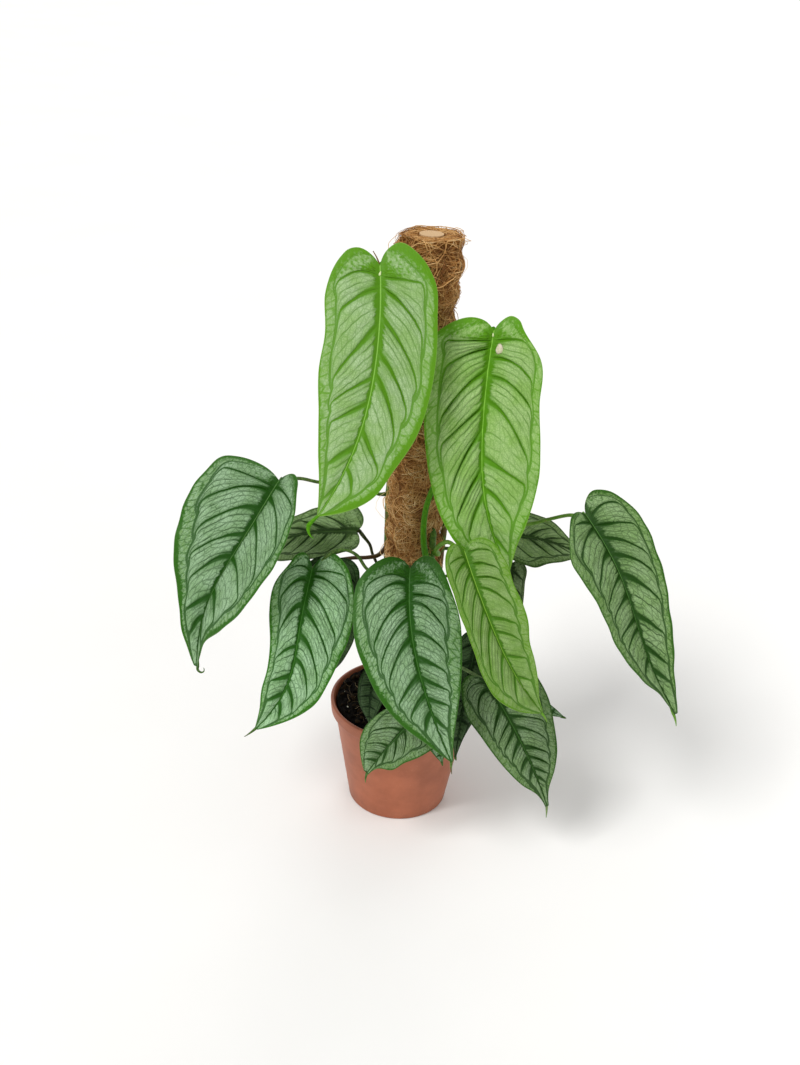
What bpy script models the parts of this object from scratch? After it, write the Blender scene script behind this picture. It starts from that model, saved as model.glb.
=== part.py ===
"""A climbing aroid, Monstera siltepecana, on a coir pole in a round nursery pot.

Millimetres are used for every dimension and turned into metres when a mesh is made.
The origin is the centre of the pot's underside, +Z is up, and the plant's leaves face -Y.
Angles round the pole start at the front (-Y) and grow towards +X.
"""

import math

import bmesh
import bpy
import numpy as np
from mathutils import Vector

MM = 0.001
SEAT = 0.35                 # gap between pieces that rest on one another

# Pot
POT_HEIGHT = 120.0
POT_TOP_RADIUS = 75.0       # over the rim
POT_BASE_RADIUS = 52.0
POT_WALL = 1.8
POT_FLOOR = 3.0
RIM_DEPTH = 13.0
RIM_STEP = 2.6              # how far the rim stands out from the wall
POT_STEPS = 36
DRAIN_HOLES = 6
DRAIN_RADIUS = 4.5
DRAIN_RING = 34.0

# Soil
SOIL_TOP = 118.0
SOIL_RELIEF = 1.6
SOIL_RINGS = 6
SOIL_SIDES = 36
STEM_DEPTH = 28.0           # how deep a stem's hole goes into the soil

# Pole: a wooden core wrapped in coir
POLE_X = 3.0
POLE_TOP = 611.0
CORE_RADIUS = 11.0
COIR_FOOT = 62.0
COIR_SIDES = 28
COIR_STEP = 25.0            # height between the coir's rings
# coir radius at heights up the pole: a tight waist below a fuller head
COIR_RADIUS = ((62, 25), (150, 25), (300, 25), (430, 25.5), (500, 24.5), (540, 23.5),
               (565, 27), (590, 29), (611, 27))

# Stems
VINE_RADIUS = 3.2
ROOT_RADIUS = 0.9
PETIOLE_FOOT = 4.0          # straight stretch of a petiole next to its stem
VINE_GAP = 0.7
VINE_STEP = 16.0            # length of a stem's straight facets

# Blades
BLADE_THICKNESS = 0.8
STATIONS = (0.0, 0.15, 0.3, 0.45, 0.6, 0.75, 0.88, 1.0)   # where half-widths are given
FAN_ROWS = 3                # rows that fan out from the base into each lobe
QUILT = 0.9                 # height of the swelling between two veins
STALK_STEP = 13.0           # length of a petiole's straight facets
RIB_BASE_RADIUS = 1.7
RIB_TIP_RADIUS = 0.55

GREENS = {
    "young": (0.19, 0.38, 0.055),
    "grown": (0.075, 0.20, 0.075),
    "shaded": (0.035, 0.11, 0.035),
}


def unit(v):
    v = np.asarray(v, float)
    return v / np.linalg.norm(v)


def facing(azimuth, elevation):
    """The direction that a blade's upper side looks in; azimuth 0 is -Y, 90 is +X."""
    a, e = math.radians(azimuth), math.radians(elevation)
    return np.array([math.sin(a) * math.cos(e), -math.cos(a) * math.cos(e), math.sin(e)])


def smooth_path(points, count):
    """A smooth curve through the points, read at equal steps of chord length."""
    p = np.asarray(points, float)
    length = np.linalg.norm(np.diff(p, axis=0), axis=1)
    chord = np.diff(p, axis=0) / length[:, None]
    slope = np.zeros_like(p)
    before, after = length[:-1, None], length[1:, None]
    slope[1:-1] = (chord[:-1] * after + chord[1:] * before) / (before + after)
    slope[0] = 2 * chord[0] - slope[1]
    slope[-1] = 2 * chord[-1] - slope[-2]
    at = np.concatenate([[0], np.cumsum(length)])
    s = np.linspace(0, at[-1], count)
    i = np.clip(np.searchsorted(at, s, side="right") - 1, 0, len(length) - 1)
    h = length[i][:, None]
    x = (s - at[i])[:, None] / h
    return ((2 * x**3 - 3 * x**2 + 1) * p[i] + (x**3 - 2 * x**2 + x) * h * slope[i]
            + (3 * x**2 - 2 * x**3) * p[i + 1] + (x**3 - x**2) * h * slope[i + 1])


class Leaf:
    """One leaf: a heart-shaped, pointed blade that hangs from the end of its petiole.

    A point of the blade is given by a, the distance along the midrib from the sinus, and
    d, the distance out from it.  Side 0 is the viewer's left of a blade seen with its tip
    down, side 1 is the right.
    """

    def __init__(self, green, base, tip, left, right, lobes, faces=(0, 25), bow=0, sway=0,
                 rise=12, fold=(12, 12), arch=14, sweep=(0.25, 0.25), rows=12, columns=3,
                 petiole=1.5, route=(), tail=((0, 0, -6),)):
        self.green = green
        self.base, self.tip = np.array(base, float), np.array(tip, float)
        self.length = np.linalg.norm(self.tip - self.base)
        self.along = (self.tip - self.base) / self.length
        look = facing(*faces)
        self.out = unit(look - (look @ self.along) * self.along)
        self.side = np.cross(self.along, self.out)
        self.widths = (left, right)
        self.lobes, self.sweep = lobes, sweep
        self.bow, self.sway, self.rise = bow, sway, rise
        self.fold, self.arch = fold, arch
        self.rows, self.columns = rows, columns
        self.petiole, self.route, self.tail = petiole, route, tail

    def midrib(self, u):
        """The midrib's points at fractions u of the blade's length."""
        u = np.asarray(u, float)[..., None]
        hump = 4 * u * (1 - u)
        sideways = self.bow * hump + self.sway * np.sin(2 * math.pi * u)
        return (self.base + self.along * self.length * u + self.side * sideways
                + self.out * self.rise * hump)

    def surface(self, side, a, d):
        """Points of the blade's middle surface: each half is tilted up and arched over."""
        sign = (1, -1)[side]
        widest = max(self.widths[side])
        tilt = np.radians(self.fold[side] - self.arch * d / widest / 2)
        return (self.midrib(a / self.length) + self.side * (sign * d * np.cos(tilt))[..., None]
                + self.out * (d * np.sin(tilt))[..., None])

    def margin(self, side, count=90):
        """The edge of one half as (a, d) points, from the sinus round the lobe to the tip."""
        w, lobe = self.widths[side], self.lobes[side]
        points = [(0, 0), (-0.62 * lobe, 0.16 * w[0]), (-lobe, 0.46 * w[0]),
                  (-0.66 * lobe, 0.8 * w[0]), (0, w[0])]
        points += [(s * self.length, half) for s, half in zip(STATIONS[1:], w[1:])]
        return smooth_path(points, count)

    def half_grid(self, side):
        """Grid of one half: rows follow the side veins, columns run from midrib to margin."""
        edge = self.margin(side)
        share = np.linspace(0, 1, len(edge))
        ahead = edge[:, 0] - self.sweep[side] * self.length
        fan_end = share[np.argmax(ahead > 0)]
        sinus_end = 0.5 * fan_end * self.lobes[side] / (self.lobes[side] + self.sweep[side]
                                                        * self.length)
        grid = np.zeros((self.rows + 1, self.columns + 1, 3))
        t = np.linspace(0, 1, self.columns + 1)
        for i in range(self.rows + 1):
            start = self.midrib_station(i)
            if i == 0:
                f = sinus_end * t
                a, d = np.interp(f, share, edge[:, 0]), np.interp(f, share, edge[:, 1])
            else:
                if i < FAN_ROWS:
                    f = sinus_end + (fan_end - sinus_end) * i / FAN_ROWS
                else:
                    f = fan_end + (1 - fan_end) * start / self.length
                end_a, end_d = np.interp(f, share, edge[:, 0]), np.interp(f, share, edge[:, 1])
                curve = 1.0 if i < FAN_ROWS else 1.5
                a = start + (end_a - start) * t**curve
                d = end_d * t
            grid[i] = self.surface(side, a, d)
            if 0 < i < self.rows:
                swell = QUILT * (1 if i % 2 else -1) * np.sin(math.pi * t**0.8)
                grid[i] += self.out * (swell * min(1.0, d[-1] / 15))[:, None]
        return grid

    def midrib_station(self, i):
        """Distance along the midrib at which row i leaves it."""
        fan = 0.03 * self.length
        if i < FAN_ROWS:
            return fan * i / FAN_ROWS
        return fan + (self.length - fan) * (i - FAN_ROWS) / (self.rows - FAN_ROWS)

    def rib_path(self, count):
        """Centre line of the midrib's ridge, just under the blade, with its radii."""
        u = np.linspace(0, 1, count)
        radius = RIB_BASE_RADIUS + (RIB_TIP_RADIUS - RIB_BASE_RADIUS) * u
        return self.midrib(u) - self.out * (radius - 0.15)[:, None], radius

    def stalk_path(self):
        """Petiole, midrib and drip tip as one line of points and radii."""
        behind, above = -self.out, -self.along
        knee = [self.base + 5.5 * behind + 1.0 * above, self.base + 3.2 * behind + 2.6 * above]
        rib, rib_radius = self.rib_path(4 + self.rows // 5)
        foot, *bends = [np.array(p, float) for p in self.route]
        run = np.linalg.norm(np.diff(np.array(bends + knee[:1]), axis=0), axis=1).sum()
        bent = smooth_path(bends + knee[:1], max(4, int(run / STALK_STEP)))
        petiole = np.concatenate([[foot], bent, knee[1:]])
        petiole_radius = np.linspace(self.petiole, RIB_BASE_RADIUS, len(petiole))
        tail = [self.tip + np.array(step, float) for step in self.tail]
        tail_radius = np.full(len(tail), 0.4)
        return (np.concatenate([petiole, rib, tail]),
                np.concatenate([petiole_radius, rib_radius, tail_radius]))


def coir_radius(angle, z):
    """Radius of the lumpy coir wrap at an angle round the pole and a height."""
    heights, radii = zip(*COIR_RADIUS)
    lumps = (0.5 * np.sin(3 * angle + z / 23) + 0.45 * np.sin(5 * angle - z / 17)
             + 0.35 * np.sin(2 * angle + z / 9.5))
    above_soil = np.clip((z - SOIL_TOP - 6) / 20, 0, 1)
    return np.interp(z, heights, radii) + lumps * above_soil


def pole_point(angle_deg, z, stand_off=0.0):
    """A point that stands off the coir's surface at an angle round the pole."""
    angle = math.radians(angle_deg)
    r = coir_radius(angle, z) + stand_off
    return np.array([POLE_X + r * math.sin(angle), -r * math.cos(angle), z])


class Vine:
    """A stem that rises from the soil and climbs the coir; its route is (z, angle, extra)."""

    def __init__(self, route, joints):
        self.route = route
        self.joints = joints

    def point(self, z):
        heights, angles, extra = zip(*self.route)
        angle = np.interp(z, heights, angles)
        lift = VINE_RADIUS + VINE_GAP + np.interp(z, heights, extra)
        return pole_point(angle, z, lift)

    def leave(self, z, direction):
        """A petiole's first two points: square to the stem, just off its side."""
        way = unit(direction)
        start = self.point(z) + way * (VINE_RADIUS + SEAT)
        return start, start + way * PETIOLE_FOOT

    def path(self):
        heights = [stop[0] for stop in self.route]
        z = [heights[0]]
        for low, high in zip(heights, heights[1:]):
            z.extend(np.linspace(low, high, int((high - low) / VINE_STEP) + 2)[1:])
        points = np.array([self.point(v) for v in z])
        radii = np.full(len(z), VINE_RADIUS)
        radii[-3:] = (VINE_RADIUS * 0.9, VINE_RADIUS * 0.6, VINE_RADIUS * 0.2)
        return points, radii


VINES = {
    "vine_front": Vine(
        route=((90, 22, 20), (128, 22, 20), (144, 22, 9), (160, 22, 1.5), (178, 22, 0),
               (210, 22, 0), (260, 28, 0), (300, 38, 0), (316, 39, 0), (332, 40, 0)),
        joints=((152, 1), (186, -1), (232, 1), (276, -1)),
    ),
    "vine_left": Vine(
        route=((90, -115, 14), (125, -115, 14), (141, -115, 6), (159, -115, 1), (178, -115, 0),
               (330, -114, 0), (432, -112, 0)),
        joints=((170, 1), (216, -1), (282, 1), (345, -1), (398, 1)),
    ),
    "vine_right": Vine(
        route=((90, 118, 16), (125, 118, 16), (141, 118, 7), (159, 118, 1), (178, 118, 0),
               (250, 116, 0), (300, 100, 0.5), (364, 97, 1)),
        joints=((180, -1), (228, 1), (290, -1)),
    ),
}
FRONT, LEFT, RIGHT = VINES["vine_front"], VINES["vine_left"], VINES["vine_right"]

LEAVES = {
    "leaf_top_left": Leaf(
        "young", base=(-40, -62, 597), tip=(-83, -135, 394),
        left=(34, 48, 46, 47, 39, 28, 14, 1), right=(48, 50, 51, 50, 47, 39, 33, 1),
        lobes=(11, 24), bow=-19, sway=1, rise=10, fold=(10, 10), arch=16,
        sweep=(0.14, 0.25), rows=17, columns=4, petiole=2.0,
        route=(*LEFT.leave(398, (-1, -0.4, 0)), (-42, -8, 412), (-56, -28, 450),
               (-58, -46, 510), (-48, -57, 570), (-42, -62, 588)),
        tail=((-5, -2, -5), (-8, -4, -9), (-12, -6, -12), (-9, -8, -19)),
    ),
    "leaf_top_right": Leaf(
        "young", base=(62, -46, 540), tip=(91, -90, 325),
        left=(54, 51, 53, 50, 46, 41, 32, 1), right=(26, 48, 49, 52, 50, 37, 18, 1),
        lobes=(14, 12), bow=19, sway=-2, rise=14, fold=(12, 12), arch=20,
        sweep=(0.2, 0.2), rows=17, columns=4, petiole=3.2,
        route=(*FRONT.leave(298, (-0.3, -1, 0)), (13, -39, 318), (11, -41, 340),
               (12, -43, 362), (18, -45, 388), (29, -45, 425), (44, -42, 472), (57, -41, 520)),
        tail=((1, -2, -3), (2, -3, -6)),
    ),
    "leaf_left": Leaf(
        "grown", base=(-127, -40, 382), tip=(-197, -108, 215), faces=(-30, 25),
        left=(57, 67, 66, 57, 42, 26, 16, 3), right=(35, 54, 61, 61, 56, 37, 11, 2),
        lobes=(7, 12), bow=7, sway=-4, rise=14, fold=(26, 30), arch=14,
        sweep=(0.22, 0.22), rows=15, columns=4,
        route=(*LEFT.leave(350, (-1, -0.3, 0)), (-44, 2, 357), (-70, -16, 371), (-91, -30, 378),
               (-110, -35, 383)),
        tail=((1, -1, -3), (4, -2, -5), (7, -3, -3), (7, -3, 1)),
    ),
    "leaf_right": Leaf(
        "grown", base=(163, -42, 364), tip=(258, -118, 196), faces=(35, 25),
        left=(32, 61, 55, 50, 42, 27, 7, 1), right=(39, 44, 42, 38, 33, 23, 13, 3),
        lobes=(7, 18), bow=7, sway=-5, rise=14, fold=(26, 28), arch=14,
        sweep=(0.25, 0.2), rows=15, columns=4, petiole=2.0,
        route=(*RIGHT.leave(322, (1, -0.2, 0)), (50, 2, 326), (80, -6, 332), (114, -20, 341),
               (131, -32, 353), (148, -38, 361)),
        tail=((1, -3, -5), (2, -5, -10)),
    ),
    "leaf_young_low": Leaf(
        "young", base=(47, -122, 360), tip=(126, -165, 222), faces=(28, 25),
        left=(28, 29, 30, 31, 33, 33, 23, 1), right=(24, 33, 33, 33, 26, 19, 9, 1),
        lobes=(12, 6), bow=13, sway=-1, rise=10, fold=(22, 20), arch=10,
        sweep=(0.2, 0.2), petiole=2.4, rows=13,
        route=(*FRONT.leave(308, (0.6, -0.8, 0)), (24, -44, 320), (27, -54, 330),
               (33, -66, 340), (39, -84, 346), (42, -104, 350)),
        tail=((3, -2, -4), (5, -3, -8)),
    ),
    "leaf_centre": Leaf(
        "grown", base=(0, -78, 316), tip=(48, -158, 157), faces=(0, 30),
        left=(49, 53, 53, 48, 42, 31, 15, 1), right=(27, 40, 46, 43, 35, 23, 11, 2),
        lobes=(15, 9), bow=12, sway=1, rise=16, fold=(14, 14), arch=20,
        sweep=(0.36, 0.18), rows=15, columns=4,
        route=(*FRONT.leave(256, (-0.2, -1, 0)), (11, -38, 262), (6, -54, 284), (1, -67, 305)),
        tail=((0, -2, -5), (1, -3, -12)),
    ),
    "leaf_centre_left": Leaf(
        "grown", base=(-93, -62, 300), tip=(-139, -128, 161), faces=(10, 30),
        left=(23, 33, 32, 27, 24, 21, 11, 1), right=(41, 48, 48, 42, 36, 31, 19, 2),
        lobes=(14, 22), bow=-11, sway=4, rise=14, fold=(18, 16), arch=16,
        sweep=(0.22, 0.3), rows=13, columns=3,
        route=(*FRONT.leave(272, (-1, -0.55, 0)), (-6, -37, 276), (-30, -44, 286),
               (-42, -46, 297), (-52, -46, 311), (-62, -47, 316), (-73, -49, 315),
               (-84, -54, 307)),
        tail=((-5, -3, -3), (-10, -5, -6)),
    ),
    "leaf_back_left": Leaf(
        "shaded", base=(-55, 6, 310), tip=(-153, 44, 251), faces=(0, 38),
        left=(32, 26, 25, 21, 17, 11, 5, 3), right=(16, 23, 26, 27, 25, 20, 10, 3),
        lobes=(11, 3), bow=12, sway=-2, rise=8, fold=(12, 12), arch=14,
        sweep=(0.2, 0.2), rows=9, petiole=1.3,
        route=(*LEFT.leave(272, (-0.9, -0.5, 0)), (-37, 6, 284), (-41, 3, 298), (-47, 3, 306)),
        tail=((-3, 1, -4),),
    ),
    "leaf_back_right": Leaf(
        "shaded", base=(91, 8, 312), tip=(183, 40, 277), faces=(0, 50),
        left=(21, 30, 33, 26, 20, 12, 6, 3), right=(17, 26, 26, 24, 18, 9, 5, 3),
        lobes=(4, 4), bow=-2, sway=-1, rise=8, fold=(12, 12), arch=14,
        sweep=(0.2, 0.2), rows=9, petiole=1.3,
        route=(*RIGHT.leave(296, (1, 0.1, 0)), (50, 12, 300), (68, 14, 309)),
        tail=((4, 1, -3),),
    ),
    "leaf_low_right": Leaf(
        "grown", base=(82, -72, 191), tip=(149, -112, 75), faces=(5, 30),
        left=(29, 35, 33, 30, 25, 17, 6, 2), right=(42, 45, 43, 37, 31, 20, 7, 2),
        lobes=(14, 9), bow=-3, sway=0, rise=12, fold=(12, 12), arch=12,
        sweep=(0.2, 0.25), rows=11, columns=3,
        route=(*FRONT.leave(182, (1, -0.6, 0)), (34, -43, 190), (58, -59, 197)),
        tail=((0, -2, -6), (0, -3, -12)),
    ),
    "leaf_small_front": Leaf(
        "grown", base=(19, -98, 170), tip=(-31, -128, 116), faces=(-5, 30),
        left=(15, 23, 27, 29, 29, 25, 16, 4), right=(20, 34, 32, 28, 22, 18, 5, 2),
        lobes=(4, 6), bow=2, sway=0, rise=8, fold=(10, 10), arch=12,
        sweep=(0.25, 0.25), rows=9,
        route=(*FRONT.leave(126, (-0.2, -1, 0)), (20, -59, 140), (21, -77, 160), (20, -91, 171)),
        tail=((-1, -1, -5), (-1, -2, -10)),
    ),
    "leaf_small_soil": Leaf(
        "shaded", base=(-26, -45, 180), tip=(-31, -60, 125), faces=(-20, 15),
        left=(13, 15, 15, 14, 12, 8, 4, 1), right=(13, 15, 15, 14, 12, 8, 4, 1),
        lobes=(6, 6), bow=2, rise=5, sweep=(0.2, 0.2), rows=7, petiole=1.2,
        route=(*FRONT.leave(164, (-1, -0.5, 0)), (-2, -37, 172), (-18, -41, 182)),
        tail=((0, -1, -3),),
    ),
    "leaf_shaded_left": Leaf(
        "shaded", base=(-75, -40, 298), tip=(-82, -62, 170), faces=(5, 15),
        left=(22, 26, 26, 24, 20, 14, 8, 1), right=(24, 30, 32, 32, 30, 22, 10, 1),
        lobes=(6, 6), bow=3, rise=6, sweep=(0.2, 0.2), rows=9, petiole=2.2,
        route=(*LEFT.leave(291, (-0.4, -1, 0)), (-32, -7, 291), (-41, -18, 294), (-55, -30, 299)),
        tail=((0, -1, -4),),
    ),
    "leaf_shaded_right": Leaf(
        "shaded", base=(101, -4, 286), tip=(93, -22, 184), faces=(5, 15),
        left=(18, 22, 22, 20, 17, 12, 6, 1), right=(15, 15, 15, 15, 13, 10, 6, 1),
        lobes=(6, 6), bow=-2, rise=5, sweep=(0.2, 0.2), rows=7, petiole=1.3,
        route=(*RIGHT.leave(262, (1, -0.1, 0)), (46, 14, 268), (74, 8, 281), (92, 4, 286)),
        tail=((0, -1, -4),),
    ),
    "leaf_low_back_right": Leaf(
        "grown", base=(94, -25, 162), tip=(165, -38, 132), faces=(15, 45),
        left=(13, 16, 16, 14, 11, 7, 4, 1), right=(13, 16, 16, 14, 11, 7, 4, 1),
        lobes=(5, 5), bow=3, rise=5, sweep=(0.2, 0.2), rows=7, petiole=1.2,
        route=(*RIGHT.leave(176, (1, -0.5, 0)), (50, 2, 178), (78, -16, 170)),
        tail=((4, 0, -2),),
    ),
    "leaf_low_dark_right": Leaf(
        "shaded", base=(72, -30, 215), tip=(56, -82, 107), faces=(0, 22),
        left=(16, 20, 21, 20, 16, 11, 5, 1), right=(16, 20, 21, 20, 16, 9, 4, 1),
        lobes=(6, 6), bow=2, rise=5, sweep=(0.2, 0.2), rows=7, petiole=1.2,
        route=(*FRONT.leave(168, (1, -0.9, 0)), (30, -40, 176), (48, -34, 199), (62, -28, 213)),
        tail=((1, -1, -4),),
    ),
    "leaf_small_low": Leaf(
        "grown", base=(29, -82, 158), tip=(42, -100, 113), faces=(0, 30),
        left=(11, 13, 13, 12, 10, 7, 4, 1), right=(11, 13, 13, 12, 10, 7, 4, 1),
        lobes=(5, 5), bow=1, rise=4, sweep=(0.2, 0.2), rows=7, petiole=1.2,
        route=(*FRONT.leave(126, (0.7, -1, 0)), (31, -59, 133), (32, -73, 150)),
        tail=((1, -1, -4),),
    ),
}


def clear_scene():
    for item in list(bpy.data.objects):
        bpy.data.objects.remove(item, do_unlink=True)


def collection(name):
    made = bpy.data.collections.new(name)
    bpy.context.scene.collection.children.link(made)
    return made


def material(name, colour, roughness, metallic=0.0):
    made = bpy.data.materials.new(name)
    made.use_nodes = True
    shader = made.node_tree.nodes["Principled BSDF"]
    shader.inputs["Base Color"].default_value = (*colour, 1.0)
    shader.inputs["Roughness"].default_value = roughness
    shader.inputs["Metallic"].default_value = metallic
    made.diffuse_color = (*colour, 1.0)
    return made


def add_object(name, mesh, into, look=None):
    made = bpy.data.objects.new(name, mesh)
    into.objects.link(made)
    if look:
        mesh.materials.clear()
        mesh.materials.append(look)
    return made


def mesh_from(name, points, faces, smooth=True):
    mesh = bpy.data.meshes.new(name)
    mesh.from_pydata([Vector(p) * MM for p in points], [], faces)
    mesh.validate()
    if smooth:
        mesh.shade_smooth()
    return mesh


def tube(name, points, radii, into, resolution=1):
    """A round bar along points, with its own radius at each, as a closed mesh object."""
    curve = bpy.data.curves.new(name, "CURVE")
    curve.dimensions = "3D"
    curve.bevel_depth = 1.0
    curve.bevel_resolution = resolution
    curve.use_fill_caps = True
    spline = curve.splines.new("POLY")
    spline.points.add(len(points) - 1)
    for spot, place, radius in zip(spline.points, points, radii):
        spot.co = (*(np.asarray(place) * MM), 1)
        spot.radius = float(radius) * MM
    holder = bpy.data.objects.new(name + "_line", curve)
    into.objects.link(holder)
    bpy.context.view_layer.update()
    ready = holder.evaluated_get(bpy.context.evaluated_depsgraph_get())
    mesh = bpy.data.meshes.new_from_object(ready)
    shape = bmesh.new()
    shape.from_mesh(mesh)
    bmesh.ops.remove_doubles(shape, verts=shape.verts, dist=1e-6)
    shape.to_mesh(mesh)
    shape.free()
    bpy.data.objects.remove(holder, do_unlink=True)
    return add_object(name, mesh, into)


def combine(target, others, operation, solver="EXACT"):
    """Apply one Boolean of target with a collection of others, then remove the others."""
    group = bpy.data.collections.new("operands")
    bpy.context.scene.collection.children.link(group)
    for item in others:
        group.objects.link(item)
    step = target.modifiers.new(operation.lower(), "BOOLEAN")
    step.operation = operation
    step.operand_type = "COLLECTION"
    step.collection = group
    step.solver = solver
    bpy.context.view_layer.update()
    ready = target.evaluated_get(bpy.context.evaluated_depsgraph_get())
    result = bpy.data.meshes.new_from_object(ready)
    target.modifiers.remove(step)
    old, target.data = target.data, result
    bpy.data.meshes.remove(old)
    for item in list(others):
        bpy.data.objects.remove(item, do_unlink=True)
    bpy.data.collections.remove(group)
    return target


def cylinder(name, radius, low, high, centre, into, sides=24):
    bpy.ops.mesh.primitive_cylinder_add(
        vertices=sides, radius=radius * MM, depth=(high - low) * MM,
        location=(centre[0] * MM, centre[1] * MM, (low + high) / 2 * MM))
    made = bpy.context.active_object
    made.name = name
    for old in list(made.users_collection):
        old.objects.unlink(made)
    into.objects.link(made)
    return made


def blade_mesh(name, leaf):
    """The blade as a closed plate: the same grid above and below, and a strip at the edge."""
    left, right = leaf.half_grid(0), leaf.half_grid(1)
    middle = np.concatenate([left[:, :0:-1], right], axis=1)      # left margin to right margin
    rows, columns = middle.shape[:2]
    down = np.gradient(middle, axis=0)
    across = np.gradient(middle, axis=1)
    normal = np.cross(down, across)
    normal[0, columns // 2] = normal[1, columns // 2]
    normal /= np.linalg.norm(normal, axis=2)[..., None]
    normal *= np.sign(np.einsum("ijk,k->ij", normal, leaf.out))[..., None]
    half = normal * BLADE_THICKNESS / 2
    points = np.concatenate([(middle + half).reshape(-1, 3), (middle - half).reshape(-1, 3)])
    below = rows * columns
    faces = []
    for i in range(rows - 1):
        for j in range(columns - 1):
            a, b = i * columns + j, i * columns + j + 1
            c, d = a + columns, b + columns
            pair = ((a, c, b), (b, c, d)) if j < columns // 2 else ((a, c, d), (a, d, b))
            for face in pair:
                faces.append(face)
                faces.append(tuple(k + below for k in reversed(face)))
    edge = [(0, j) for j in range(columns)] + [(i, columns - 1) for i in range(1, rows)]
    edge += [(rows - 1, j) for j in range(columns - 2, -1, -1)]
    edge += [(i, 0) for i in range(rows - 2, 0, -1)]
    ring = [i * columns + j for i, j in edge]
    for p, q in zip(ring, ring[1:] + ring[:1]):
        faces.append((p, q, q + below))
        faces.append((p, q + below, p + below))
    return mesh_from(name, points, faces)


def make_leaf(name, leaf, looks, into):
    body = add_object(name, blade_mesh(name, leaf), into)
    points, radii = leaf.stalk_path()
    combine(body, [tube(name + "_stalk", points, radii, into)], "UNION")
    body.data.materials.clear()
    body.data.materials.append(looks[leaf.green])
    return body


def aerial_root(vine, z, way, into):
    """A root that leaves the stem at a joint and creeps round the coir."""
    start = vine.point(z)
    angle = math.degrees(math.atan2(start[0] - POLE_X, -start[1]))
    points = [start]
    for k in range(1, 6):
        turn = angle + way * (6 + 7 * k)
        points.append(pole_point(turn, z - 2.5 * k, ROOT_RADIUS + 0.8))
    return tube("root", points, np.linspace(ROOT_RADIUS, 0.6, len(points)), into)


def make_vine(name, vine, look, into):
    points, radii = vine.path()
    body = tube(name, points, radii, into, resolution=2)
    roots = [aerial_root(vine, z, way, into) for z, way in vine.joints]
    combine(body, roots, "UNION")
    body.data.materials.clear()
    body.data.materials.append(look)
    return body


def make_coir(look, into):
    """A tube of coir: an uneven outside and a round bore for the core."""
    count = int((POLE_TOP - COIR_FOOT) / COIR_STEP) + 1
    angles = np.arange(COIR_SIDES) * 2 * math.pi / COIR_SIDES
    rings = []
    for z in np.linspace(COIR_FOOT, POLE_TOP, count):
        r = coir_radius(angles, z)
        rings.append([(POLE_X + r[k] * math.sin(a), -r[k] * math.cos(a), z)
                      for k, a in enumerate(angles)])
    bore = CORE_RADIUS + SEAT
    for z in (POLE_TOP, COIR_FOOT):
        rings.append([(POLE_X + bore * math.sin(a), -bore * math.cos(a), z) for a in angles])
    points = [p for ring in rings for p in ring]
    faces = []
    for i in range(len(rings)):
        here, above = i * COIR_SIDES, (i + 1) % len(rings) * COIR_SIDES
        for k in range(COIR_SIDES):
            n = (k + 1) % COIR_SIDES
            faces.append((here + k, here + n, above + n, above + k))
    mesh = mesh_from("pole_coir", points, faces)
    return add_object("pole_coir", mesh, into, look)


def make_core(look, into):
    body = cylinder("pole_core", CORE_RADIUS, POT_FLOOR + SEAT, POLE_TOP + 1.0, (POLE_X, 0),
                    into, sides=COIR_SIDES)
    body.data.materials.append(look)
    return body


def pot_wall_radius(z):
    """Outer radius of the tapered wall below the rim."""
    top = POT_TOP_RADIUS - RIM_STEP
    return POT_BASE_RADIUS + (top - POT_BASE_RADIUS) * z / POT_HEIGHT


def make_pot(look, into, cutters):
    """A turned pot with a stepped rim, a flat floor and drain holes off its centre."""
    rim_foot = POT_HEIGHT - RIM_DEPTH
    slope = pot_wall_radius(rim_foot)
    inner_top = POT_TOP_RADIUS - RIM_STEP - POT_WALL
    inner_floor = pot_wall_radius(POT_FLOOR) - POT_WALL
    profile = [
        (0, POT_FLOOR), (inner_floor - 3, POT_FLOOR), (inner_floor, POT_FLOOR + 3),
        (slope - POT_WALL, rim_foot), (inner_top, POT_HEIGHT - 1), (inner_top + 1, POT_HEIGHT),
        (POT_TOP_RADIUS - 1, POT_HEIGHT), (POT_TOP_RADIUS, POT_HEIGHT - 1),
        (POT_TOP_RADIUS - 0.8, rim_foot + 1), (POT_TOP_RADIUS - 1.8, rim_foot), (slope, rim_foot),
        (pot_wall_radius(3), 3), (POT_BASE_RADIUS - 1.5, 0), (0, 0),
    ]
    mesh = bpy.data.meshes.new("pot")
    mesh.from_pydata([(r * MM, 0, z * MM) for r, z in profile],
                     [(i, i + 1) for i in range(len(profile) - 1)], [])
    body = add_object("pot", mesh, into, look)
    turn = body.modifiers.new("turn", "SCREW")
    turn.axis = "Z"
    turn.steps = turn.render_steps = POT_STEPS
    turn.use_merge_vertices = True
    turn.merge_threshold = 0.00005
    turn.use_smooth_shade = True
    drains = bpy.data.collections.new("drains")
    cutters.children.link(drains)
    for k in range(DRAIN_HOLES):
        angle = 2 * math.pi * k / DRAIN_HOLES
        spot = (DRAIN_RING * math.cos(angle), DRAIN_RING * math.sin(angle))
        hole = cylinder(f"drain_{k + 1}", DRAIN_RADIUS, -2, POT_FLOOR + 2, spot, drains, 12)
        hide_cutter(hole)
    cut = body.modifiers.new("drain", "BOOLEAN")
    cut.operand_type = "COLLECTION"
    cut.collection = drains
    cut.operation = "DIFFERENCE"
    return body


def hide_cutter(item):
    item.hide_render = True
    item.display_type = "WIRE"


def soil_height(x, y):
    """Height of the soil's crumbly top, highest round the pole."""
    r = math.hypot(x, y)
    heap = 2.0 * math.exp(-(r / 45) ** 2)
    crumbs = math.sin(x / 5.1 + 1.3) * math.cos(y / 4.3) + 0.6 * math.sin((x + y) / 3.1)
    return SOIL_TOP + heap + SOIL_RELIEF * 0.5 * crumbs


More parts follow.
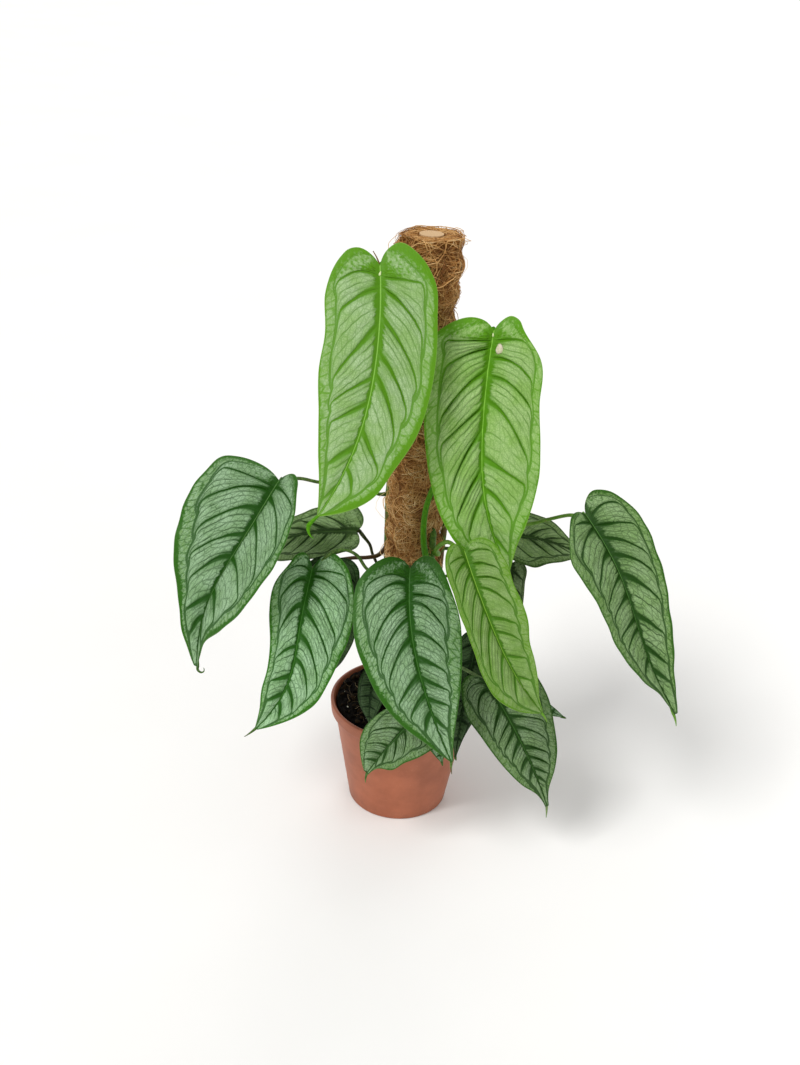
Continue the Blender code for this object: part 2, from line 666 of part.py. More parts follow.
def make_soil(look, into):
    """The root ball fills the pot; round holes take the pole and the three stems."""
    floor = POT_FLOOR + SEAT + 0.3
    top_radius = pot_wall_radius(SOIL_TOP - 4) - POT_WALL - SEAT - 0.4
    foot_radius = pot_wall_radius(floor) - POT_WALL - SEAT - 3.2
    rings = [[(foot_radius * c, foot_radius * s, floor) for c, s in circle(SOIL_SIDES)]]
    low_radius = pot_wall_radius(floor + 5) - POT_WALL - SEAT - 0.4
    rings.append([(low_radius * c, low_radius * s, floor + 5) for c, s in circle(SOIL_SIDES)])
    rings.append([(top_radius * c, top_radius * s, SOIL_TOP - 4) for c, s in circle(SOIL_SIDES)])
    for k in range(SOIL_RINGS):
        r = (top_radius - 1) * (1 - k / SOIL_RINGS)
        rings.append([(r * c, r * s, soil_height(r * c, r * s)) for c, s in circle(SOIL_SIDES)])
    points = [p for ring in rings for p in ring]
    faces = [tuple(reversed(range(SOIL_SIDES)))]
    for i in range(len(rings) - 1):
        here, above = i * SOIL_SIDES, (i + 1) * SOIL_SIDES
        for k in range(SOIL_SIDES):
            n = (k + 1) % SOIL_SIDES
            faces.append((here + k, here + n, above + n))
            faces.append((here + k, above + n, above + k))
    points.append((0, 0, soil_height(0, 0)))
    last = (len(rings) - 1) * SOIL_SIDES
    for k in range(SOIL_SIDES):
        faces.append((last + k, last + (k + 1) % SOIL_SIDES, len(points) - 1))
    body = add_object("soil", mesh_from("soil", points, faces), into)
    coir_hole = COIR_RADIUS[0][1] + SEAT + 0.3
    holes = [
        cylinder("cut", coir_hole, COIR_FOOT - SEAT, SOIL_TOP + 20, (POLE_X, 0), into, 28),
        cylinder("cut", CORE_RADIUS + SEAT, -5, COIR_FOOT + 5, (POLE_X, 0), into, 28),
    ]
    for vine in VINES.values():
        foot = vine.point(vine.route[0][0])
        holes.append(cylinder("cut", VINE_RADIUS + SEAT + 0.25, SOIL_TOP - STEM_DEPTH - SEAT,
                              SOIL_TOP + 20, foot, into, 12))
    combine(body, holes, "DIFFERENCE")
    body.data.materials.clear()
    body.data.materials.append(look)
    return body


def circle(count):
    return [(math.cos(2 * math.pi * k / count), math.sin(2 * math.pi * k / count))
            for k in range(count)]


def main():
    clear_scene()
    plant = collection("monstera_siltepecana")
    cutters = collection("cutters")
    looks = {name: material("leaf_" + name, colour, 0.45) for name, colour in GREENS.items()}
    terracotta = material("terracotta_plastic", (0.42, 0.17, 0.09), 0.5)
    peat = material("peat", (0.035, 0.025, 0.02), 0.95)
    coir = material("coir", (0.23, 0.12, 0.055), 0.9)
    wood = material("pale_wood", (0.55, 0.4, 0.25), 0.7)
    stem = material("stem", (0.1, 0.22, 0.05), 0.5)
    make_pot(terracotta, plant, cutters)
    make_soil(peat, plant)
    make_core(wood, plant)
    make_coir(coir, plant)
    for name, vine in VINES.items():
        make_vine(name, vine, stem, plant)
    for name, leaf in LEAVES.items():
        make_leaf(name, leaf, looks, plant)


main()
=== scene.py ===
"""Looks for a Monstera siltepecana that climbs a coir pole in a round nursery pot.

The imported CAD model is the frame.  Every piece made here is a finer, coloured form of one of
its nodes, built from the same dimensions, and rides on the same body.  Millimetres are used
for every dimension and turned into metres when a mesh is made.  The origin is the centre of
the pot's underside, +Z is up, the leaves face -Y, and angles round the pole start at -Y.
"""

import math
from dataclasses import dataclass
from functools import partialmethod

import bmesh
import bpy
import numpy as np
from mathutils import Matrix, Vector, noise

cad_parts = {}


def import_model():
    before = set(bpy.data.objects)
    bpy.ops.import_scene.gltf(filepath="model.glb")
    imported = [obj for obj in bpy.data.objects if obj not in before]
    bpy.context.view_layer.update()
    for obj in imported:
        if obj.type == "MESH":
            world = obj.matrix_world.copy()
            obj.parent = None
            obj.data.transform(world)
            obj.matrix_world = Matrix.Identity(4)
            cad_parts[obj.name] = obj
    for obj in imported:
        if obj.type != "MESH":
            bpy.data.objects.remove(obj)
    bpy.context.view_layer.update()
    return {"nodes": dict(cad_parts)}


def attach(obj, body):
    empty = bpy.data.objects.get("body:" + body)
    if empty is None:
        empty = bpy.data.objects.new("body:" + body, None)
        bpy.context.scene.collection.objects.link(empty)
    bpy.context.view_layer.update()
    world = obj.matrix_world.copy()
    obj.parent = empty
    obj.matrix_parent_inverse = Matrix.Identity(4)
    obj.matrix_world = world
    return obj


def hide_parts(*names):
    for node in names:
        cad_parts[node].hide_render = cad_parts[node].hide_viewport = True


MM = 0.001
SEED = 7
SHARP_ANGLE = math.radians(60)
POT_SHARP_ANGLE = math.radians(35)

# Camera, as it stood for the photograph
PICTURE_HEIGHT = 1065       # in pixels, as the focal length is
SENSOR = 36.0
FOCAL_PIXELS = 1307.0
CAMERA_TILT = 26.8          # degrees below level
CAMERA_ROLL = 3.0
CAMERA_PLACE = (-11.2, -1152.9, 896.4)

FLOOR_REACH = 60000.0
FLOOR_DROP = 0.3

# Pot
POT_HEIGHT = 120.0
POT_TOP_RADIUS = 75.0
POT_BASE_RADIUS = 52.0
POT_WALL = 1.8
POT_FLOOR = 3.0
RIM_DEPTH = 13.0
RIM_STEP = 2.6
POT_STEPS = 160
DRAIN_HOLES = 6
DRAIN_RADIUS = 4.5
DRAIN_RING = 34.0
HOLE_SIDES = 28
FLOOR_CORNER = 3.0          # radius inside, between floor and wall
FOOT_CORNER = 1.6           # radius outside, at the foot
WALL_BANDS = 12             # between the foot and the rim
WALL_WAVER = 0.08           # how far the wall's bands stand in and out

# Soil
SOIL_TOP = 118.0
SOIL_RELIEF = 1.6
SOIL_GAP = 0.75             # between the soil and the pot's wall
SOIL_RINGS = 70
SOIL_SIDES = 150
CRUMBS = 480
PERLITE = 46
STRAWS = 150
LUMP_FLATNESS = 0.7         # a crumb's height as a share of its width
LUMP_RELIEF = 0.45

# Pole: a wooden core wrapped in coir
POLE_X = 3.0
POLE_TOP = 611.0
CORE_RADIUS = 11.0
COIR_FOOT = 62.0
COIR_RADIUS = ((62, 25), (150, 25), (300, 25), (430, 25.5), (500, 24.5), (540, 23.5),
               (565, 27), (590, 29), (611, 27))
COIR_SIDES = 120
COIR_STEP = 3.0
COIR_SINK = 0.9             # how far the ground lies below the fibres
COIR_GRAIN = 1.2            # height of its grain
FIBRE_CURL = 1.3            # the usual turn of a fibre over its length, in radians
FIBRE_STEPS = 9
FIBRE_PIECES = 3
FIBRES_EACH = 2350
STRAYS = 260
TUFTS = 900
TOP_FIBRES = 420
TUFT_PAINTED_LIGHT = 0.09            # painted light and shade: how much paler a fibre is for each millimetre it stands out, darker in hollows
TUFT_MOST = 1.9             # how far a tuft may stand out between the stems

# Stems
VINE_RADIUS = 3.2
VINE_GAP = 0.7              # between a stem and the coir
VINE_STEP = 1.5
VINE_SMOOTHED = 9           # how many steps its bends are smoothed over
NODE_SWELL = 0.55           # how much thicker a stem is where a petiole leaves it
NODE_WAIST = 0.18           # how much thinner it is just below
SEAT = 0.35                 # between a solid and the one that it is seated on
ROOT_RADIUS = 0.9
ROOT_STEPS = 26
ROOT_DROP = 13.0            # how far a root creeps down the coir
ROOT_APART = 1.5            # between the roots of one joint
ROOT_HEIGHT = 1.4           # of a root's centre line above the coir
JOINT_ROOTS = 3
PETIOLE_FOOT = 4.0
RIB_BASE_RADIUS = 1.7
RIB_TIP_RADIUS = 0.55
DRIP_START = 12.0           # how far before the blade's tip the midrib thickens
DRIP_RADIUS = 1.5           # of the drip tip where it leaves the blade
DRIP_END = 0.3
STALK_STEP = 2.2

# Blades
BLADE_THICKNESS = 0.8
EDGE_THICKNESS = 0.45
STATIONS = (0.0, 0.15, 0.3, 0.45, 0.6, 0.75, 0.88, 1.0)   # where half-widths are given
MARGIN_POINTS = 240
MARGIN = np.linspace(0, 1, MARGIN_POINTS)
GRID_STEP = 1.9             # side of a blade's mesh cell
USUAL_BLADE = 200.0         # the blade length that a material's distances hold for

# Relief of the blades
SWELL_HEIGHT = 1.5          # between two side veins
FOLD_DEPTH = 0.45           # along the thin veins of a swelling
RIM_HEIGHT = 0.5            # beyond the loops
GROOVE_DEPTH = 0.3          # along the midrib
GROOVE_WIDTH = 1.8
WAVE_HEIGHT = 0.9           # of the margin's long waves
RIPPLE_HEIGHT = 0.5         # of its short ones
PHASE_STEP = 1.7            # from leaf to leaf, so that no two wave alike

# Small marks on the blades
SPOT_SIDES = 20
SPOT_SEAT = 0.1
DOME = ((0.6, -0.9), (1.0, 0.0), (0.8, 0.6), (0.4, 0.95))   # shares of a spot's reach and height

# Side veins, as shares of the way from the midrib to the margin
LOOP = 0.8                  # where they run together into one vein along the margin
LOOP_TURN = 0.13            # how far before that they begin to bend towards the tip
LOOP_SWAY = 0.2             # how far they bend, as a share of their spacing
LOOP_MOST = 0.97
OTHER_SIDE = 20             # what the vein numbers of a blade's second side are raised by

# Small veins and cells
THIN_VEINS = 4              # in the gap between two side veins
MARGIN_CELL = 7.0           # width of the cells between the loops and the margin
FINE_CELL = 2.1
UNDER_CELL = 6.5
SPECK_CELL = 0.9            # on a petiole


def unit(v):
    v = np.asarray(v, float)
    return v / np.linalg.norm(v)


def facing(azimuth, elevation):
    """The direction that a blade's upper side looks in; azimuth 0 is -Y, 90 is +X."""
    a, e = math.radians(azimuth), math.radians(elevation)
    return np.array([math.sin(a) * math.cos(e), -math.cos(a) * math.cos(e), math.sin(e)])


def smooth_path(points, count):
    """A smooth curve through the points, read at equal steps of chord length."""
    p = np.asarray(points, float)
    length = np.linalg.norm(np.diff(p, axis=0), axis=1)
    chord = np.diff(p, axis=0) / length[:, None]
    slope = np.zeros_like(p)
    before, after = length[:-1, None], length[1:, None]
    slope[1:-1] = (chord[:-1] * after + chord[1:] * before) / (before + after)
    slope[0] = 2 * chord[0] - slope[1]
    slope[-1] = 2 * chord[-1] - slope[-2]
    at = np.concatenate([[0], np.cumsum(length)])
    s = np.linspace(0, at[-1], count)
    i = np.clip(np.searchsorted(at, s, side="right") - 1, 0, len(length) - 1)
    h = length[i][:, None]
    x = (s - at[i])[:, None] / h
    return ((2 * x**3 - 3 * x**2 + 1) * p[i] + (x**3 - 2 * x**2 + x) * h * slope[i]
            + (3 * x**2 - 2 * x**3) * p[i + 1] + (x**3 - x**2) * h * slope[i + 1])


def smooth_step(x, low, high):
    x = np.clip((x - low) / (high - low), 0, 1)
    return x * x * (3 - 2 * x)


@dataclass
class Leaf:
    """One leaf: a heart-shaped, pointed blade that hangs from the end of its petiole.

    A point of the blade is given by a, the distance along the midrib from the sinus, and
    d, the distance out from it.  Side 0 is the viewer's left of a blade seen with its tip
    down, side 1 is the right.  veins holds, for each side, the side veins from base to tip
    as the a where each leaves the midrib, is halfway out, and would reach the margin.
    """

    look: str
    base: tuple
    tip: tuple
    left: tuple             # half-widths at the stations
    lobes: tuple            # how far each lobe reaches back past the sinus
    route: tuple            # the petiole's points, from its stem
    tail: tuple             # the drip tip's points, from the blade's tip
    right: tuple = ()       # left's, where none are given
    faces: tuple = (0, 25)  # where the upper side looks: azimuth and elevation
    bow: float = 0          # the midrib's bend to one side
    sway: float = 0         # its bend to both sides
    rise: float = 12        # how far it stands out halfway
    fold: tuple = (12, 12)  # how far each half is tilted up, in degrees
    arch: float = 14        # how far it turns down again
    sweep: tuple = (0.2, 0.2)   # how far down a lobe's fan of veins reaches, as a share
    petiole: float = 1.5    # its radius at the stem
    stalk: str = "dull"
    curl: float = 0         # how much thicker a curled drip tip is
    veins: tuple = ((), ())
    loops: tuple = (0.84, 0.84)     # shares of the way to the margin
    band: tuple = (2, 2)    # the green margin's width
    quilt: tuple = (1, 1)   # how strongly it swells between the veins
    greened: float = 0.6    # how much of the lobes' silver is green

    def __post_init__(self):
        self.base, self.tip = np.array(self.base, float), np.array(self.tip, float)
        self.length = np.linalg.norm(self.tip - self.base)
        self.along = (self.tip - self.base) / self.length
        look_way = facing(*self.faces)
        self.out = unit(look_way - (look_way @ self.along) * self.along)
        self.side = np.cross(self.along, self.out)
        self.widths = (self.left, self.right or self.left)
        self.edges = [self.margin(side) for side in (0, 1)]
        self.veins = [given or self.usual_veins(side) for side, given in enumerate(self.veins)]

    def midrib(self, u):
        """The midrib's points at fractions u of the blade's length."""
        u = np.asarray(u, float)[..., None]
        hump = 4 * u * (1 - u)
        sideways = self.bow * hump + self.sway * np.sin(2 * math.pi * u)
        return (self.base + self.along * self.length * u + self.side * sideways
                + self.out * self.rise * hump)

    def surface(self, side, a, d):
        """Points of the blade's middle surface: each half is tilted up and arched over."""
        sign = (1, -1)[side]
        widest = max(self.widths[side])
        tilt = np.radians(self.fold[side] - self.arch * d / widest / 2)
        return (self.midrib(a / self.length) + self.side * (sign * d * np.cos(tilt))[..., None]
                + self.out * (d * np.sin(tilt))[..., None])

    def margin(self, side):
        """The edge of one half as (a, d) points, from the sinus round the lobe to the tip."""
        w, lobe = self.widths[side], self.lobes[side]
        points = [(0, 0), (-0.62 * lobe, 0.16 * w[0]), (-lobe, 0.46 * w[0]),
                  (-0.66 * lobe, 0.8 * w[0]), (0, w[0])]
        points += [(s * self.length, half) for s, half in zip(STATIONS[1:], w[1:])]
        return smooth_path(points, MARGIN_POINTS)

    def edge_at(self, side, share):
        """The margin's points (a, d) at shares of the way from the sinus to the tip."""
        return np.stack([np.interp(share, MARGIN, self.edges[side][:, k]) for k in (0, 1)], -1)

    def shares(self, side):
        """Shares of the margin where the sinus ends and where the lobe's fan of veins ends."""
        reach = self.sweep[side] * self.length
        fan_end = MARGIN[np.argmax(self.edges[side][:, 0] > reach)]
        return 0.5 * fan_end * self.lobes[side] / (self.lobes[side] + reach), fan_end

    def usual_veins(self, side):
        """Side veins at even steps, each swept towards the tip."""
        reached = 0.82 * self.shares(side)[1]
        starts = np.linspace(0.03, 0.84, 6 if self.length > 100 else 5)
        ends = self.edge_at(side, reached + (1 - reached) * starts)[:, 0]
        starts = starts * self.length
        return list(zip(starts, starts + 0.39 * (ends - starts), ends))

    def vein_table(self, side):
        """Starts, middles and margin shares of the sinus edge, each side vein and the tip."""
        edge = self.edges[side][:, 0]
        top = np.argmin(edge)
        starts, middles, ends = zip(*self.veins[side])
        sinus = self.shares(side)[0]
        return (np.array([0, *starts, self.length]),
                np.array([self.edge_at(side, sinus)[0] / 2, *middles, self.length]),
                np.array([sinus, *np.interp(ends, edge[top:], MARGIN[top:]), 1]))

    def row_starts(self):
        """Midrib distances of the mesh's rows, close wherever midrib or margin is long."""
        start = np.linspace(0, self.length, 1500)
        walked = np.abs(np.gradient(start))
        for side in (0, 1):
            starts, _, shares = self.vein_table(side)
            spot = self.edge_at(side, np.interp(start, starts, shares))
            walked = np.maximum(walked, 0.8 * np.linalg.norm(np.gradient(spot, axis=0), axis=1))
        total = np.concatenate([[0], np.cumsum(walked[1:])])
        return np.interp(np.linspace(0, total[-1], int(total[-1] / GRID_STEP) + 2), total, start)

    def half_grid(self, side, starts, t):
        """(a, d) of one half's mesh and each row's side-vein number; rows follow the veins."""
        table = self.vein_table(side)
        number, middle, reached = (np.interp(starts, table[0], column)
                                   for column in (np.arange(len(table[0])), *table[1:]))
        end = self.edge_at(side, reached)
        start, middle, far = starts[:, None], middle[:, None], end[:, :1]
        a = start + (4 * middle - 3 * start - far) * t + 2 * (start + far - 2 * middle) * t**2
        d = end[:, 1:] * t
        sinus, fan_end = self.shares(side)
        fade = np.clip(1 - (reached - sinus) / (0.6 * (fan_end - sinus)), 0, 1)[:, None] ** 2
        first = self.edge_at(side, sinus * t)
        a += fade * (first[:, 0] - end[0, 0] * t)
        d += fade * (first[:, 1] - end[0, 1] * t)
        return a, d, number

    def petiole_path(self):
        """Centre line and radii of the petiole, swollen at its foot and near the blade."""
        behind, above = -self.out, -self.along
        knee = [self.base + 5.5 * behind + 1.0 * above, self.base + 3.2 * behind + 2.6 * above]
        foot, *bends = [np.array(p, float) for p in self.route]
        run = np.linalg.norm(np.diff(np.array(bends + knee[:1]), axis=0), axis=1).sum()
        points = smooth_path([foot, *bends, *knee], int(run / STALK_STEP) + 8)
        travelled = np.linspace(0, run, len(points))
        radius = np.linspace(self.petiole, RIB_BASE_RADIUS, len(points))
        radius *= 1 + 0.45 * np.exp(-travelled / 6) + 0.2 * np.exp(-((run - travelled - 7) / 5) ** 2)
        return points, radius

    def rib_path(self):
        """Centre line and radii of the midrib's ridge, just under the blade."""
        u = np.linspace(0.004, 1, int(self.length / STALK_STEP))
        near_tip = smooth_step(u * self.length, self.length - DRIP_START, self.length)
        radius = RIB_BASE_RADIUS + (RIB_TIP_RADIUS - RIB_BASE_RADIUS) * u
        radius += (DRIP_RADIUS - RIB_TIP_RADIUS) * near_tip
        return self.midrib(u) - self.out * (radius + 0.1)[:, None], radius

    def drip_path(self, start):
        """Centre line and radii of the drip tip, thicker halfway where it is curled."""
        steps = [self.tip + np.array(step, float) for step in self.tail]
        points = smooth_path([start, *steps], 4 + 3 * len(steps))[1:]
        drop = np.linspace(0, 1, len(points) + 1)[1:]
        radius = DRIP_RADIUS + (DRIP_END - DRIP_RADIUS) * drop
        return points, radius + self.curl * np.sin(math.pi * drop) ** 2

    def stalk_path(self):
        """Petiole, midrib and drip tip as one line of points and radii."""
        rib = self.rib_path()
        parts = (self.petiole_path(), rib, self.drip_path(rib[0][-1]))
        return [np.concatenate(column) for column in zip(*parts)]


def above_soil(z):
    """0 where the pole stands in the soil, so that it stays smooth there, and 1 well above."""
    return np.clip((z - SOIL_TOP - 6) / 20, 0, 1)


def coir_radius(angle, z):
    """Radius of the lumpy coir wrap at an angle round the pole and a height."""
    heights, radii = zip(*COIR_RADIUS)
    lumps = (0.5 * np.sin(3 * angle + z / 23) + 0.45 * np.sin(5 * angle - z / 17)
             + 0.35 * np.sin(2 * angle + z / 9.5))
    return np.interp(z, heights, radii) + lumps * above_soil(z)


def coir_bulk(angle, z):
    """How far tufts stand out of the wrap, or hollows sink into it."""
    tufts = np.sin(3 * angle + z / 9.1) * np.cos(2 * angle - z / 7.3)
    tufts += 0.8 * np.sin(5 * angle - z / 12.3) * np.cos(4 * angle + z / 6.9)
    return np.minimum(2.6 * tufts - 0.5, TUFT_MOST) * above_soil(z)


def round_pole(angle, radius, z):
    """Points at angles (radians), radii and heights round the pole's axis."""
    return np.stack([POLE_X + radius * np.sin(angle), -radius * np.cos(angle), z], axis=-1)


class Vine:
    """A stem that rises from the soil and climbs the coir; its route is (z, angle, extra)."""

    def __init__(self, route, joints):
        self.route = route
        self.joints = joints
        self.nodes = []

    def point(self, z):
        heights, angles, extra = zip(*self.route)
        angle = math.radians(np.interp(z, heights, angles))
        lift = VINE_RADIUS + VINE_GAP + np.interp(z, heights, extra)
        return round_pole(angle, coir_radius(angle, z) + lift, z)

    def leave(self, z, direction):
        """A petiole's first two points: square to the stem, just off its side."""
        self.nodes.append(z)
        way = unit(direction)
        start = self.point(z) + way * (VINE_RADIUS + SEAT)
        return start, start + way * PETIOLE_FOOT

    def path(self):
        """Fine centre line with its radii, swollen at each node."""
        low, high = self.route[0][0], self.route[-1][0]
        z = np.arange(low, high, VINE_STEP)
        coarse = np.array([self.point(v) for v in z])
        padded = np.pad(coarse, ((VINE_SMOOTHED // 2,) * 2, (0, 0)), mode="edge")
        points = np.stack([np.convolve(column, np.ones(VINE_SMOOTHED) / VINE_SMOOTHED, "valid")
                           for column in padded.T], 1)
        points[:, 2] = z
        radii = np.full(len(z), VINE_RADIUS)
        for node in self.nodes:
            radii += NODE_SWELL * np.exp(-((z - node) / 1.7) ** 2)
            radii -= NODE_WAIST * np.exp(-((z - node + 4.5) / 2.5) ** 2)
        radii *= np.clip((high - z) / 6, 0.15, 1) ** 0.5
        return points, radii


VINES = {
    "vine_front": Vine(
        route=((90, 22, 20), (128, 22, 20), (144, 22, 9), (160, 22, 1.5), (178, 22, 0),
               (210, 22, 0), (260, 28, 0), (300, 38, 0), (316, 39, 0), (332, 40, 0)),
        joints=((152, 1), (186, -1), (232, 1), (276, -1)),
    ),
    "vine_left": Vine(
        route=((90, -115, 14), (125, -115, 14), (141, -115, 6), (159, -115, 1), (178, -115, 0),
               (330, -114, 0), (432, -112, 0)),
        joints=((170, 1), (216, -1), (282, 1), (345, -1), (398, 1)),
    ),
    "vine_right": Vine(
        route=((90, 118, 16), (125, 118, 16), (141, 118, 7), (159, 118, 1), (178, 118, 0),
               (250, 116, 0), (300, 100, 0.5), (364, 97, 1)),
        joints=((180, -1), (228, 1), (290, -1)),
    ),
}
FRONT, LEFT, RIGHT = VINES["vine_front"], VINES["vine_left"], VINES["vine_right"]

